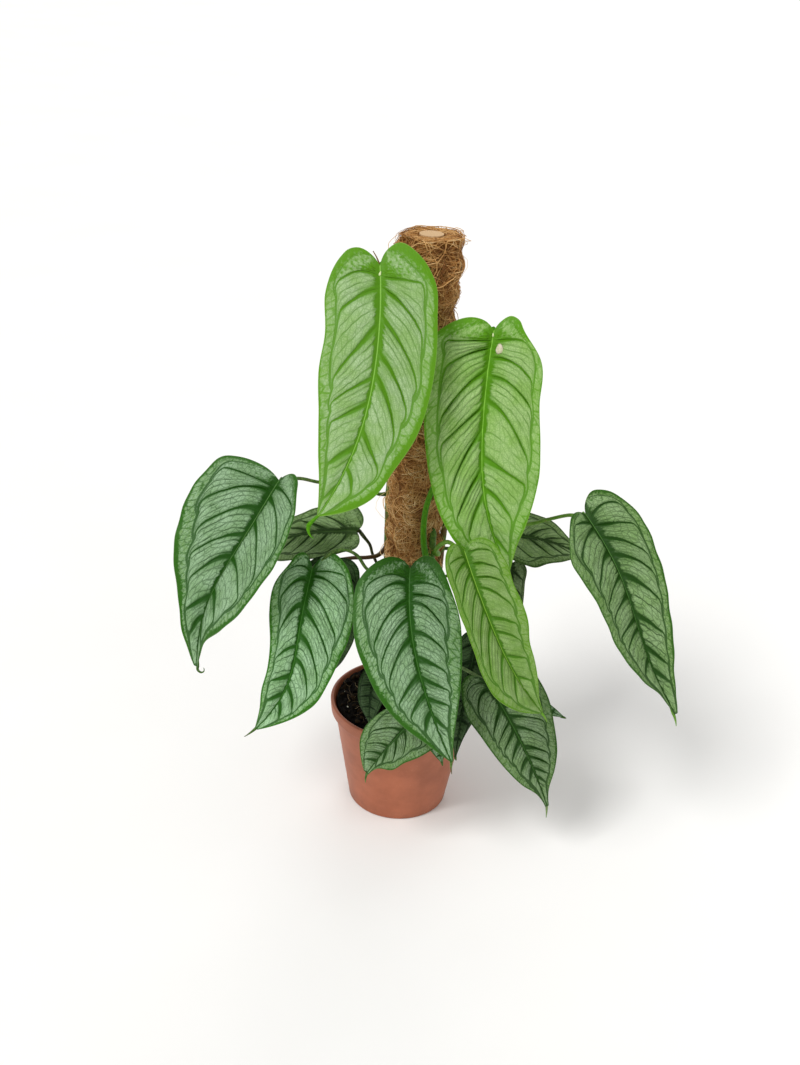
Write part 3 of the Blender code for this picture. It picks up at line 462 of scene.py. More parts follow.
LEAVES = {
    "leaf_top_left": Leaf(
        "young", base=(-40, -62, 597), tip=(-83, -135, 394),
        left=(34, 48, 46, 47, 39, 28, 14, 1), right=(48, 50, 51, 50, 47, 39, 33, 1),
        lobes=(11, 24), bow=-19, sway=1, rise=10, fold=(10, 10), arch=16, sweep=(0.14, 0.25),
        petiole=2.0,
        route=(*LEFT.leave(398, (-1, -0.4, 0)), (-42, -8, 412), (-56, -28, 450),
               (-58, -46, 510), (-48, -57, 570), (-42, -62, 588)),
        tail=((-5, -1, -5), (-8, -2, -9), (-8, -3, -13), (-6, -5, -17), (-3, -6, -19)),
        band=(2.2, 5.5), loops=(0.83, 0.8), greened=0.9, stalk="bright", curl=1.1,
        veins=(((8, 11, 34), (19, 32, 61), (47, 78, 118), (92, 109, 130), (114, 129, 145),
                (153, 165, 180), (191, 199, 209)),
               ((8, 6, 4), (17, 32, 68), (40, 66, 112), (71, 94, 140), (89, 115, 164), (137, 158, 181),
                (173, 184, 209))),
    ),
    "leaf_top_right": Leaf(
        "young_lush", base=(62, -46, 540), tip=(91, -90, 325),
        left=(54, 51, 53, 50, 46, 41, 32, 1), right=(26, 48, 49, 52, 50, 37, 18, 1),
        lobes=(14, 12), bow=19, sway=-2, rise=14, arch=20, petiole=3.2,
        route=(*FRONT.leave(298, (-0.3, -1, 0)), (13, -39, 318), (11, -41, 340),
               (12, -43, 362), (18, -45, 388), (29, -45, 425), (44, -42, 472), (57, -41, 520)),
        tail=((1, -2, -3), (2, -3, -6)), band=(2.5, 1.5), loops=(0.81, 0.86), quilt=(2.4, 1.3),
        greened=0.85, stalk="bright",
        veins=(((8, 5, 4), (14, 19, 35), (33, 52, 94), (63, 83, 106), (83, 116, 168), (120, 146, 183),
                (143, 165, 199)),
               ((8, 8, 13), (23, 30, 57), (38, 49, 82), (59, 81, 136), (109, 125, 146), (139, 150, 184),
                (185, 194, 209))),
    ),
    "leaf_left": Leaf(
        "grown_lined", base=(-127, -40, 382), tip=(-197, -108, 215), faces=(-30, 25),
        left=(57, 67, 66, 57, 42, 26, 16, 3), right=(35, 54, 61, 61, 56, 37, 11, 2),
        lobes=(7, 12), bow=7, sway=-4, rise=14, fold=(26, 30), sweep=(0.22, 0.22),
        route=(*LEFT.leave(350, (-1, -0.3, 0)), (-44, 2, 357), (-70, -16, 371), (-91, -30, 378),
               (-110, -35, 383)),
        tail=((1, -1, -3), (4, -2, -5), (7, -3, -3), (7, -3, 1)), band=(3.5, 3), loops=(0.85, 0.86),
        veins=(((7, 7, 12), (12, 23, 62), (33, 45, 95), (59, 74, 113), (83, 96, 136), (125, 138, 154),
                (146, 155, 178)),
               ((6, 8, 19), (17, 31, 68), (43, 64, 105), (83, 94, 124), (119, 128, 156),
                (152, 162, 176))),
    ),
    "leaf_right": Leaf(
        "grown_light", base=(163, -42, 364), tip=(258, -118, 196), faces=(35, 25),
        left=(32, 61, 55, 50, 42, 27, 7, 1), right=(39, 44, 42, 38, 33, 23, 13, 3),
        lobes=(7, 18), bow=7, sway=-5, rise=14, fold=(26, 28), sweep=(0.25, 0.2), petiole=2.0,
        route=(*RIGHT.leave(322, (1, -0.2, 0)), (50, 2, 326), (80, -6, 332), (114, -20, 341),
               (131, -32, 353), (148, -38, 361)),
        tail=((1, -3, -5), (2, -5, -10)), band=(2, 2.5), loops=(0.82, 0.84), stalk="olive",
        veins=(((9, 4, 1), (14, 21, 45), (40, 49, 80), (64, 72, 90), (82, 88, 101), (106, 109, 117),
                (114, 119, 133), (145, 150, 162)),
               ((5, -3, 12), (13, 19, 32), (26, 39, 70), (45, 56, 90), (64, 81, 115), (102, 117, 141),
                (133, 147, 167), (157, 167, 182))),
    ),
    "leaf_young_low": Leaf(
        "young_warm", base=(47, -122, 360), tip=(126, -165, 222), faces=(28, 25),
        left=(28, 29, 30, 31, 33, 33, 23, 1), right=(24, 33, 33, 33, 26, 19, 9, 1),
        lobes=(12, 6), bow=13, sway=-1, rise=10, fold=(22, 20), arch=10, petiole=2.4,
        route=(*FRONT.leave(308, (0.6, -0.8, 0)), (24, -44, 320), (27, -54, 330),
               (33, -66, 340), (39, -84, 346), (42, -104, 350)),
        tail=((3, -2, -4), (5, -3, -8)), band=(1.8, 1.8), loops=(0.84, 0.79), stalk="pale",
        veins=(((5, 1, 3), (9, 10, 22), (19, 26, 50), (34, 47, 77), (51, 68, 104), (67, 85, 127),
                (95, 109, 138), (118, 130, 149)),
               ((3, 5, 21), (12, 19, 38), (24, 31, 48), (33, 46, 80), (62, 70, 88), (74, 83, 101),
                (98, 105, 113), (121, 126, 136))),
    ),
    "leaf_centre": Leaf(
        "grown", base=(0, -78, 316), tip=(48, -158, 157), faces=(0, 30),
        left=(49, 53, 53, 48, 42, 31, 15, 1), right=(27, 40, 46, 43, 35, 23, 11, 2),
        lobes=(15, 9), bow=12, sway=1, rise=16, fold=(14, 14), arch=20, sweep=(0.36, 0.18),
        route=(*FRONT.leave(256, (-0.2, -1, 0)), (11, -38, 262), (6, -54, 284), (1, -67, 305)),
        tail=((0, -2, -5), (1, -3, -12)), band=(4.5, 1.8), loops=(0.82, 0.78), greened=1.0,
        veins=(((10, 1, 15), (15, 13, 44), (29, 41, 85), (44, 62, 104), (63, 80, 120), (97, 110, 130),
                (116, 126, 145), (134, 141, 161)),
               ((13, 18, 36), (23, 30, 44), (30, 43, 86), (58, 68, 102), (82, 92, 113), (99, 111, 122),
                (120, 127, 135), (138, 147, 160))),
    ),
    "leaf_centre_left": Leaf(
        "grown_pale", base=(-93, -62, 300), tip=(-139, -128, 161), faces=(10, 30),
        left=(23, 33, 32, 27, 24, 21, 11, 1), right=(41, 48, 48, 42, 36, 31, 19, 2),
        lobes=(14, 22), bow=-11, sway=4, rise=14, fold=(18, 16), arch=16, sweep=(0.22, 0.3),
        route=(*FRONT.leave(272, (-1, -0.55, 0)), (-6, -37, 276), (-30, -44, 286),
               (-42, -46, 297), (-52, -46, 311), (-62, -47, 316), (-73, -49, 315),
               (-84, -54, 307)),
        tail=((-5, -3, -3), (-10, -5, -6)), band=(2.2, 2.4), loops=(0.81, 0.87),
        veins=(((1, 0, 21), (11, 16, 50), (35, 43, 86), (71, 79, 95), (99, 106, 112), (119, 124, 135)),
               ((1, -5, -6), (5, 6, 27), (19, 32, 67), (36, 52, 85), (61, 74, 116), (84, 93, 130),
                (110, 120, 140), (127, 134, 150))),
    ),
    "leaf_back_left": Leaf(
        "shaded_olive", base=(-55, 6, 310), tip=(-153, 44, 251), faces=(0, 38),
        left=(32, 26, 25, 21, 17, 11, 5, 3), right=(16, 23, 26, 27, 25, 20, 10, 3),
        lobes=(11, 3), bow=12, sway=-2, rise=8, petiole=1.3,
        route=(*LEFT.leave(272, (-0.9, -0.5, 0)), (-37, 6, 284), (-41, 3, 298), (-47, 3, 306)),
        tail=((-3, 1, -4),), stalk="dark",
        veins=(((8, 18, 46), (28, 42, 72), (48, 60, 88), (66, 76, 102), (84, 92, 112)),) * 2,
    ),
    "leaf_back_right": Leaf(
        "shaded_pale", base=(91, 8, 312), tip=(183, 40, 277), faces=(0, 50),
        left=(21, 30, 33, 26, 20, 12, 6, 3), right=(17, 26, 26, 24, 18, 9, 5, 3),
        lobes=(4, 4), bow=-2, sway=-1, rise=8, petiole=1.3,
        route=(*RIGHT.leave(296, (1, 0.1, 0)), (50, 12, 300), (68, 14, 309)),
        tail=((4, 1, -3),),
        veins=(((8, 16, 40), (26, 38, 62), (44, 54, 76), (60, 68, 88), (74, 80, 96)),) * 2,
    ),
    "leaf_low_right": Leaf(
        "grown_dull", base=(82, -72, 191), tip=(149, -112, 75), faces=(5, 30),
        left=(29, 35, 33, 30, 25, 17, 6, 2), right=(42, 45, 43, 37, 31, 20, 7, 2),
        lobes=(14, 9), bow=-3, rise=12, arch=12, sweep=(0.2, 0.25),
        route=(*FRONT.leave(182, (1, -0.6, 0)), (34, -43, 190), (58, -59, 197)),
        tail=((0, -2, -6), (0, -3, -12)), band=(1.8, 1.8), loops=(0.77, 0.83), stalk="grey",
        veins=(((1, -4, 13), (8, 10, 40), (25, 39, 58), (43, 51, 65), (51, 61, 74), (64, 72, 89),
                (83, 88, 101), (94, 101, 113)),
               ((4, 5, 24), (18, 24, 44), (37, 47, 63), (50, 60, 86), (72, 79, 96), (81, 90, 104),
                (95, 101, 112), (105, 109, 121))),
    ),
    "leaf_small_front": Leaf(
        "grown_soft", base=(19, -98, 170), tip=(-31, -128, 116), faces=(-5, 30),
        left=(15, 23, 27, 29, 29, 25, 16, 4), right=(20, 34, 32, 28, 22, 18, 5, 2),
        lobes=(4, 6), bow=2, rise=8, fold=(10, 10), arch=12, sweep=(0.25, 0.25),
        route=(*FRONT.leave(126, (-0.2, -1, 0)), (20, -59, 140), (21, -77, 160), (20, -91, 171)),
        tail=((-1, -1, -5), (-1, -2, -10)), band=(1.2, 1.2), loops=(0.84, 0.82),
        veins=(((4, 2, 8), (12, 14, 34), (26, 34, 56), (46, 51, 64), (56, 60, 69), (64, 67, 73)),
               ((4, 3, 10), (12, 16, 32), (24, 32, 52), (36, 44, 62), (48, 56, 67), (62, 66, 73))),
    ),
    "leaf_small_soil": Leaf(
        "shaded", base=(-26, -45, 180), tip=(-31, -60, 125), faces=(-20, 15),
        left=(13, 15, 15, 14, 12, 8, 4, 1),
        lobes=(6, 6), bow=2, rise=5, petiole=1.2,
        route=(*FRONT.leave(164, (-1, -0.5, 0)), (-2, -37, 172), (-18, -41, 182)),
        tail=((0, -1, -3),),
    ),
    "leaf_shaded_left": Leaf(
        "shaded", base=(-75, -40, 298), tip=(-82, -62, 170), faces=(5, 15),
        left=(22, 26, 26, 24, 20, 14, 8, 1), right=(24, 30, 32, 32, 30, 22, 10, 1),
        lobes=(6, 6), bow=3, rise=6, petiole=2.2,
        route=(*LEFT.leave(291, (-0.4, -1, 0)), (-32, -7, 291), (-41, -18, 294), (-55, -30, 299)),
        tail=((0, -1, -4),), stalk="brown",
    ),
    "leaf_shaded_right": Leaf(
        "shaded_grey", base=(101, -4, 286), tip=(93, -22, 184), faces=(5, 15),
        left=(18, 22, 22, 20, 17, 12, 6, 1), right=(15, 15, 15, 15, 13, 10, 6, 1),
        lobes=(6, 6), bow=-2, rise=5, petiole=1.3,
        route=(*RIGHT.leave(262, (1, -0.1, 0)), (46, 14, 268), (74, 8, 281), (92, 4, 286)),
        tail=((0, -1, -4),),
    ),
    "leaf_low_back_right": Leaf(
        "grown", base=(94, -25, 162), tip=(165, -38, 132), faces=(15, 45),
        left=(13, 16, 16, 14, 11, 7, 4, 1),
        lobes=(5, 5), bow=3, rise=5, petiole=1.2,
        route=(*RIGHT.leave(176, (1, -0.5, 0)), (50, 2, 178), (78, -16, 170)),
        tail=((4, 0, -2),),
    ),
    "leaf_low_dark_right": Leaf(
        "shaded", base=(72, -30, 215), tip=(56, -82, 107), faces=(0, 22),
        left=(16, 20, 21, 20, 16, 11, 5, 1), right=(16, 20, 21, 20, 16, 9, 4, 1),
        lobes=(6, 6), bow=2, rise=5, petiole=1.2,
        route=(*FRONT.leave(168, (1, -0.9, 0)), (30, -40, 176), (48, -34, 199), (62, -28, 213)),
        tail=((1, -1, -4),),
    ),
    "leaf_small_low": Leaf(
        "grown", base=(29, -82, 158), tip=(42, -100, 113), faces=(0, 30),
        left=(11, 13, 13, 12, 10, 7, 4, 1),
        lobes=(5, 5), bow=1, rise=4, petiole=1.2,
        route=(*FRONT.leave(126, (0.7, -1, 0)), (31, -59, 133), (32, -73, 150)),
        tail=((1, -1, -4),),
    ),
}


def add_mesh(name, points, face_groups):
    """A mesh object from points in millimetres and arrays of faces, one for each face size."""
    mesh = bpy.data.meshes.new(name)
    faces = [np.asarray(group, np.int32) for group in face_groups if len(group)]
    corners = np.concatenate([group.ravel() for group in faces])
    sizes = np.concatenate([np.full(len(group), group.shape[1]) for group in faces])
    mesh.vertices.add(len(points))
    mesh.vertices.foreach_set("co", (np.asarray(points) * MM).astype(np.float32).ravel())
    mesh.loops.add(len(corners))
    mesh.loops.foreach_set("vertex_index", corners)
    mesh.polygons.add(len(sizes))
    mesh.polygons.foreach_set("loop_start", np.concatenate([[0], np.cumsum(sizes)[:-1]]))
    mesh.update(calc_edges=True)
    mesh.shade_smooth()
    made = bpy.data.objects.new(name, mesh)
    bpy.context.scene.collection.objects.link(made)
    return made


def finish_piece(piece, slot, node, *looks):
    """Give a piece its place on the frame and its materials; slot is not used."""
    for look in looks:
        piece.data.materials.append(look)
    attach(piece, "root")
    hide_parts(node)
    return piece


def add_piece(name, shape, slot, node, *looks):
    """A piece from its points and faces, with its place on the frame and its materials."""
    return finish_piece(add_mesh(name, *shape), slot, node, *looks)


def mark(piece, name, values, domain="POINT"):
    """Store one number, or three, for each point or face corner, for a material to read."""
    kind = "FLOAT" if values.ndim == 1 else "FLOAT_VECTOR"
    field = "value" if values.ndim == 1 else "vector"
    made = piece.data.attributes.new(name, kind, domain)
    made.data.foreach_set(field, values.astype(np.float32).ravel())


def turns(sides):
    """Even angles round a full turn."""
    return np.arange(sides) * 2 * math.pi / sides


def loft(rings):
    """Points and faces of closed bodies; rings is (bodies, rings, sides, 3)."""
    rings = np.asarray(rings)
    index = np.arange(rings.size // 3).reshape(rings.shape[:3])
    low, high = index[:, :-1], index[:, 1:]
    quads = np.stack([low, np.roll(low, -1, 2), np.roll(high, -1, 2), high], -1)
    caps = np.concatenate([index[:, 0, ::-1], index[:, -1]])
    return rings.reshape(-1, 3), [quads.reshape(-1, 4), caps]


def tubes(lines, radii, sides):
    """Points and faces of closed tubes; lines is (count, steps, 3), radii (count, steps)."""
    lines = np.asarray(lines, float)
    along = np.gradient(lines, axis=1)
    along /= np.linalg.norm(along, axis=2)[..., None] + 1e-9
    least = np.argmin(np.abs(along[:, 0]), axis=1)
    across = np.zeros_like(lines)
    turn = np.eye(3)[least]
    for k in range(lines.shape[1]):
        turn = turn - (turn * along[:, k]).sum(1)[:, None] * along[:, k]
        turn /= np.linalg.norm(turn, axis=1)[:, None]
        across[:, k] = turn
    other = np.cross(along, across)
    angle = turns(sides)
    ring = (across[:, :, None] * np.cos(angle)[:, None]
            + other[:, :, None] * np.sin(angle)[:, None])
    return loft(lines[:, :, None] + ring * np.asarray(radii)[:, :, None, None])


def tube(points, radii, sides=12):
    """Points and faces of one closed tube."""
    return tubes(points[None], radii[None], sides)


def blade_lift(leaf, quilt, a, d, t, looped, number, end_d, phase):
    """Height of the blade's relief over its plain surface: swellings, grooves and waves."""
    part = number[:, None] % 1
    inside = np.clip(d / 6, 0, 1) * (1 - smooth_step(looped, 0.66, LOOP))
    swell = SWELL_HEIGHT * quilt * np.sin(math.pi * part) ** 0.7
    past_lobe = smooth_step(number, 0.8, 2.2)[:, None]
    folds = FOLD_DEPTH * quilt * np.cos(3 * math.pi * part) ** 4 * past_lobe
    rim = RIM_HEIGHT * np.sin(math.pi * np.clip((looped - LOOP) / (1 - LOOP), 0, 1))
    groove = -GROOVE_DEPTH * np.exp(-(d / GROOVE_WIDTH) ** 2)
    wide = np.minimum(1, end_d / 20)[:, None]
    waves = WAVE_HEIGHT * wide * smooth_step(t, 0.5, 1.0) * np.sin(a / 9.5 + phase)
    waves += RIPPLE_HEIGHT * smooth_step(t, 0.6, 1.0) * np.sin(a / 4.3 + 2 * phase)
    ends = np.minimum(1, number)[:, None] * np.clip((leaf.length - a) / 15, 0, 1)
    return ((swell - folds) * inside + rim * wide + waves) * ends + groove


def blade_half(leaf, side, starts, t, phase):
    """Middle surface of one half, and the marks that its materials read."""
    a, d, number = leaf.half_grid(side, starts, t)
    end_d = d[:, -1]
    looped = t ** (math.log(LOOP) / math.log(leaf.loops[side]))
    lift = blade_lift(leaf, leaf.quilt[side], a, d, t, looped, number, end_d, phase)
    points = leaf.surface(side, a, d) + leaf.out * lift[..., None]
    per_number = np.gradient(points, axis=0) / (np.gradient(number)[:, None, None] + 1e-6)
    across = np.gradient(points, axis=1)
    across /= np.linalg.norm(across, axis=2)[..., None] + 1e-9
    apart = per_number - (per_number * across).sum(2)[..., None] * across
    spacing = np.clip(np.linalg.norm(apart, axis=2), 0.5, 60)
    from_edge = np.maximum(end_d[:, None] - d, 0)
    band = leaf.band[side] * np.clip(end_d / 30, 0.25, 1)[:, None]
    in_lobe = smooth_step(1.4 - number[:, None], 0.1, 0.7)
    patch = np.exp(-((t - 0.62) / 0.3) ** 2)
    silver = smooth_step(from_edge, 0.2 * band, 1.2 * band)
    silver *= 1 - leaf.greened * in_lobe * (1 - 0.5 * patch)
    size = (leaf.length / USUAL_BLADE) ** 0.7
    number = np.broadcast_to(number[:, None], a.shape)
    sign = (1, -1)[side]
    return points, {
        "quilt": np.full(a.shape, leaf.quilt[side]),
        "veins": np.stack([number + OTHER_SIDE * side, np.broadcast_to(looped, a.shape), silver], -1),
        "lay": np.stack([sign * d / size + 100 * phase, a / size, a / leaf.length], -1),
        "sizes": np.stack([spacing, d, from_edge], -1) / size,
    }


def cells(near, far):
    """The four corners of each cell between two tables of indices."""
    return np.stack([near[:-1], near[1:], far[1:], far[:-1]], -1).reshape(-1, 4)


def outer(table):
    """A table's outer entries, in order round it."""
    return np.concatenate([table[0], table[1:, -1], table[-1, -2::-1], table[-2:0:-1, 0]])


def plate_faces(rows, wide):
    """A closed plate's faces above, below and round its rim, and the marks of their corners.

    A row has one mark more than it has points, since its middle one is marked for each side.
    """
    below, middle = rows * wide, wide // 2
    index = np.arange(below).reshape(rows, wide)
    value = np.arange(below + rows).reshape(rows, wide + 1)
    top = cells(index[:, :-1], index[:, 1:])
    top_value = cells(np.delete(value, (middle, -1), 1), np.delete(value, (0, middle + 1), 1))
    ring, ring_value = outer(index), outer(np.delete(value, middle, 1))
    after, after_value = np.roll(ring, -1), np.roll(ring_value, -1)
    rim = np.stack([ring, after, after + below, ring + below], -1)
    rim_value = np.stack([ring_value, after_value, after_value, ring_value], -1)
    return (top, top[:, ::-1] + below, rim), (top_value, top_value[:, ::-1], rim_value)


def plate_points(leaf, middle):
    """Upper and lower points of a blade that thins towards its edges."""
    normal = np.cross(np.gradient(middle, axis=0), np.gradient(middle, axis=1))
    rib = middle.shape[1] // 2
    normal[0, rib] = normal[1, rib]
    normal /= np.linalg.norm(normal, axis=2)[..., None] + 1e-9
    normal *= np.sign(normal @ leaf.out)[..., None]
    outward = smooth_step(np.abs(np.linspace(-1, 1, middle.shape[1])), 0.5, 1)
    thick = BLADE_THICKNESS + (EDGE_THICKNESS - BLADE_THICKNESS) * outward
    half = normal * thick[None, :, None] / 2
    return np.array([middle + half, middle - half]).reshape(-1, 3)


def make_blade(name, leaf, materials, slot, phase):
    """The blade as a closed plate whose mesh rows follow its side veins."""
    starts = leaf.row_starts()
    columns = max(7, int(max(map(max, leaf.widths)) / GRID_STEP))
    t = np.linspace(0, 1, columns + 1) ** 1.12
    (left, left_marks), (right, right_marks) = (
        blade_half(leaf, side, starts, t, phase) for side in (0, 1))
    middle = np.concatenate([left[:, :0:-1], right], axis=1)
    faces, values = plate_faces(*middle.shape[:2])
    shape = (plate_points(leaf, middle), [np.concatenate(faces)])
    blade = add_piece(name + "_blade", shape, slot, name, *materials)
    corners = np.concatenate(values).ravel()
    for key in left_marks:
        both = np.concatenate([left_marks[key][:, ::-1], right_marks[key]], axis=1)
        mark(blade, key, both.reshape(-1, *both.shape[2:])[corners], "CORNER")
    upper_or_under = np.repeat((0, 1, 0), [len(group) for group in faces])
    blade.data.polygons.foreach_set("material_index", upper_or_under.astype(np.int32))
    blade.data.set_sharp_from_angle(angle=SHARP_ANGLE)


def make_stalk(name, leaf, material, slot):
    """Petiole, the midrib's ridge under the blade and the drip tip."""
    add_piece(name + "_stalk", tube(*leaf.stalk_path()), slot, name, material)


def make_spot(name, node, side, a, d, reach, height, material, slot):
    """A thin dome that lies on a blade's upper side; reach is its half-size across and along."""
    leaf = LEAVES[node]
    centre = leaf.surface(side, np.array([a]), np.array([d]))[0]
    away = np.array([v.co for v in bpy.data.objects[node + "_blade"].data.vertices]) / MM - centre
    above = away @ leaf.out
    near = np.linalg.norm(away - above[:, None] * leaf.out, axis=1) < GRID_STEP
    centre = centre + leaf.out * above[near].max()
    turn = turns(SPOT_SIDES)
    uneven = 1 + 0.14 * np.sin(2 * turn + 1) + 0.1 * np.sin(3 * turn)
    rings = []
    for share, lift in DOME:
        flat = (np.cos(turn) * reach[0] * uneven)[:, None] * leaf.side
        flat = flat + (np.sin(turn) * reach[1] * uneven)[:, None] * leaf.along
        rings.append(centre + share * flat + leaf.out * (SPOT_SEAT + lift * height))
    add_piece(name, loft([rings]), slot, node, material)


def make_twig(name, node, ends, radius, material, slot):
    """A dry, slightly bent twig between two points."""
    first, last = (np.array(end, float) for end in ends)
    s = np.linspace(0, 1, FIBRE_STEPS)[:, None]
    path = first + (last - first) * s + np.sin(math.pi * s) * (0.6, -0.8, 0.5)
    add_piece(name, tube(path, radius * (1.1 - 0.5 * s[:, 0]), 8), slot, node, material)


def root_line(vine, joint, way, branch, draw):
    """Centre line and radii of one aerial root, which creeps round the coir and down."""
    step = np.linspace(0, 1, ROOT_STEPS)
    start = vine.point(joint - ROOT_APART * branch)
    angle = math.atan2(start[0] - POLE_X, -start[1])
    reach = math.radians(48 - 12 * branch) * way * (1 if branch < 2 else -0.5)
    turn = angle + reach * step + 0.03 * np.sin(9 * step + draw.uniform(0, 6))
    height = joint - ROOT_APART * branch - ROOT_DROP * step - 1.2 * np.sin(11 * step + joint)
    path = round_pole(turn, coir_radius(turn, height) + ROOT_HEIGHT, height)
    path[0] = start
    return path, (ROOT_RADIUS - 0.12 * branch) * (1.15 - 0.6 * step)


def make_vine(name, vine, stem_look, root_look, draw):
    """A climbing stem, and the aerial roots that leave its joints."""
    add_piece(name + "_stem", tube(*vine.path(), 20), "stem", name, stem_look)
    roots = [root_line(vine, joint, way, branch, draw)
             for joint, way in vine.joints for branch in range(JOINT_ROOTS)]
    add_piece(name + "_roots", tubes(*zip(*roots), 7), "stem", name, root_look)


def make_coir_wrap(material):
    """The coir under the fibres: an uneven tube with a round bore for the core."""
    heights = np.linspace(COIR_FOOT, POLE_TOP, int((POLE_TOP - COIR_FOOT) / COIR_STEP) + 1)
    angles = turns(COIR_SIDES)
    angle, z = np.meshgrid(angles, heights)
    rough = np.array([noise.fractal(Vector((9 * math.cos(a), 9 * math.sin(a), h / 3)), 0.8, 2.0, 4)
                      for a, h in zip(angle.ravel(), z.ravel())]).reshape(angle.shape)
    radius = coir_radius(angle, z) + coir_bulk(angle, z) - COIR_SINK + COIR_GRAIN * rough
    outside = round_pole(angle, radius, z)
    bore = [round_pole(angles, CORE_RADIUS + SEAT, np.full(COIR_SIDES, h))
            for h in (POLE_TOP, COIR_FOOT)]
    rings = np.concatenate([outside, np.array(bore)])
    index = np.arange(rings.size // 3).reshape(rings.shape[:2])
    above = np.roll(index, -1, axis=0)
    faces = np.stack([index, np.roll(index, -1, 1), np.roll(above, -1, 1), above], -1)
    shape = (rings.reshape(-1, 3), [faces.reshape(-1, 4)])
    wrap = add_piece("coir_wrap", shape, "coir", "pole_coir", material)
    wrap.data.set_sharp_from_angle(angle=SHARP_ANGLE)


def fibre_lines(draw, count, lengths, slant):
    """Angles and heights of fibres that lie round the pole, and the steps along them."""
    s = np.linspace(0, 1, FIBRE_STEPS)
    length = draw.uniform(*lengths, (count, 1))
    centre = draw.uniform(-math.pi, math.pi, (count, 1))
    level = draw.uniform(SOIL_TOP, POLE_TOP, (count, 1))
    swirl = 0.9 * np.sin(2 * centre + level / 27) + 0.7 * np.sin(3 * centre - level / 16)
    heading = swirl + draw.normal(0, slant, (count, 1)) + math.pi * draw.integers(0, 2, (count, 1))
    bend = draw.normal(0, FIBRE_CURL, (count, 1))
    way = heading + bend * (s - 0.5) + draw.normal(0, 0.35, (count, 1)) * np.sin(2 * math.pi * s)
    step = length / (FIBRE_STEPS - 1)
    across = np.cumsum(np.cos(way) * step, axis=1)
    up = np.cumsum(np.sin(way) * step, axis=1)
    z = np.clip(level + up - up.mean(1)[:, None], SOIL_TOP - 3, POLE_TOP + 1.0)
    return centre + across / 26, z, s


def add_strands(name, lines, widths, sides, tone, material, slot, node):
    """Thin tubes with a tone each, or a tone at each of their steps."""
    layer = add_piece(name, tubes(lines, widths, sides), slot, node, material)
    mark(layer, "tone", np.broadcast_to(tone, lines.shape[:2]).repeat(sides))


def make_fibres(name, draw, count, material, lengths=(16, 60), lift=(0.1, 1.5), loop=0.9,
                radius=(0.14, 0.34), slant=0.5):
    """One layer of matted coir fibres."""
    angle, z, s = fibre_lines(draw, count, lengths, slant)
    hump = np.sin(math.pi * s)
    stand = draw.uniform(*lift, (count, 1)) + draw.exponential(loop, (count, 1)) * hump
    stand -= 1.2 * (1 - hump) ** 2
    bulk = coir_bulk(angle, z)
    lines = round_pole(angle, coir_radius(angle, z) + bulk + stand, z)
    widths = draw.uniform(*radius, (count, 1)) * (1 - 0.5 * np.abs(2 * s - 1) ** 3)
    # Painted light and shade: fibres on tufts are paler and fibres in hollows darker.
    tone = draw.uniform(0, 1, (count, 1)) + TUFT_PAINTED_LIGHT * bulk
    add_strands(name, lines, widths, 3, tone, material, "coir", "pole_coir")


def make_top_fibres(draw, count, material):
    """Fibres that lie over the cut top end of the wrap, round the core."""
    s = np.linspace(0, 1, FIBRE_STEPS)
    angle = draw.uniform(-math.pi, math.pi, (count, 1)) + draw.normal(0, 0.5, (count, 1)) * s
    inner = CORE_RADIUS + 1
    start = draw.uniform(inner, 25, (count, 1))
    end = draw.uniform(inner, 27, (count, 1))
    rim = coir_radius(angle, np.full_like(angle, POLE_TOP)) - 1
    r = np.minimum(start + (end - start) * s, rim)
    z = POLE_TOP + 0.2 + draw.uniform(0, 0.7, (count, 1)) * np.sin(math.pi * s)
    widths = draw.uniform(0.14, 0.28, (count, 1)) * np.ones_like(s)
    tone = draw.uniform(0, 1, (count, 1))
    add_strands("coir_top", round_pole(angle, r, z), widths, 3, tone, material, "coir", "pole_coir")


def pot_wall_radius(z):
    """Outer radius of the tapered wall below the rim."""
    top = POT_TOP_RADIUS - RIM_STEP
    return POT_BASE_RADIUS + (top - POT_BASE_RADIUS) * z / POT_HEIGHT


def arc(centre, radius, start, end, count=6):
    """Points (r, z) of a round corner, from one angle in degrees to another."""
    return [(centre[0] + radius * math.cos(math.radians(v)),
             centre[1] + radius * math.sin(math.radians(v)))
            for v in np.linspace(start, end, count)]


def pot_profile():
    """The pot's section from the floor's middle, up the inside, over the rim and back."""
    rim_foot = POT_HEIGHT - RIM_DEPTH
    slope = pot_wall_radius(rim_foot)
    inner_top = POT_TOP_RADIUS - RIM_STEP - POT_WALL
    inner_floor = pot_wall_radius(POT_FLOOR) - POT_WALL
    lip = (inner_top + POT_TOP_RADIUS) / 2 + 0.4
    lip_radius = POT_TOP_RADIUS - lip
    profile = [(0.01, POT_FLOOR), (inner_floor * 0.6, POT_FLOOR)]
    corner = FLOOR_CORNER
    profile += arc((inner_floor - corner, POT_FLOOR + corner), corner, -90, 0)
    profile += [(slope - POT_WALL, rim_foot), (inner_top, POT_HEIGHT - lip_radius - 1)]
    profile += arc((lip, POT_HEIGHT - lip_radius), lip_radius, 170, 0, 12)
    profile += [(POT_TOP_RADIUS - 0.3, rim_foot + 6)]
    profile += arc((POT_TOP_RADIUS - 1.8, rim_foot + 1), 1.0, 0, -90)
    profile += arc((slope + 0.5, rim_foot - 0.5), 0.5, 90, 180, 4)
    for k in range(1, WALL_BANDS):
        z = rim_foot * (1 - k / WALL_BANDS)
        profile.append((pot_wall_radius(z) + WALL_WAVER * (-1) ** k, z))
    profile += arc((pot_wall_radius(2) - FOOT_CORNER, FOOT_CORNER), FOOT_CORNER, 0, -90)
    profile += [(POT_BASE_RADIUS - 6, 0), (POT_BASE_RADIUS - 7, 0.7), (8, 0.7), (0.01, 0.7)]
    return np.array(profile)


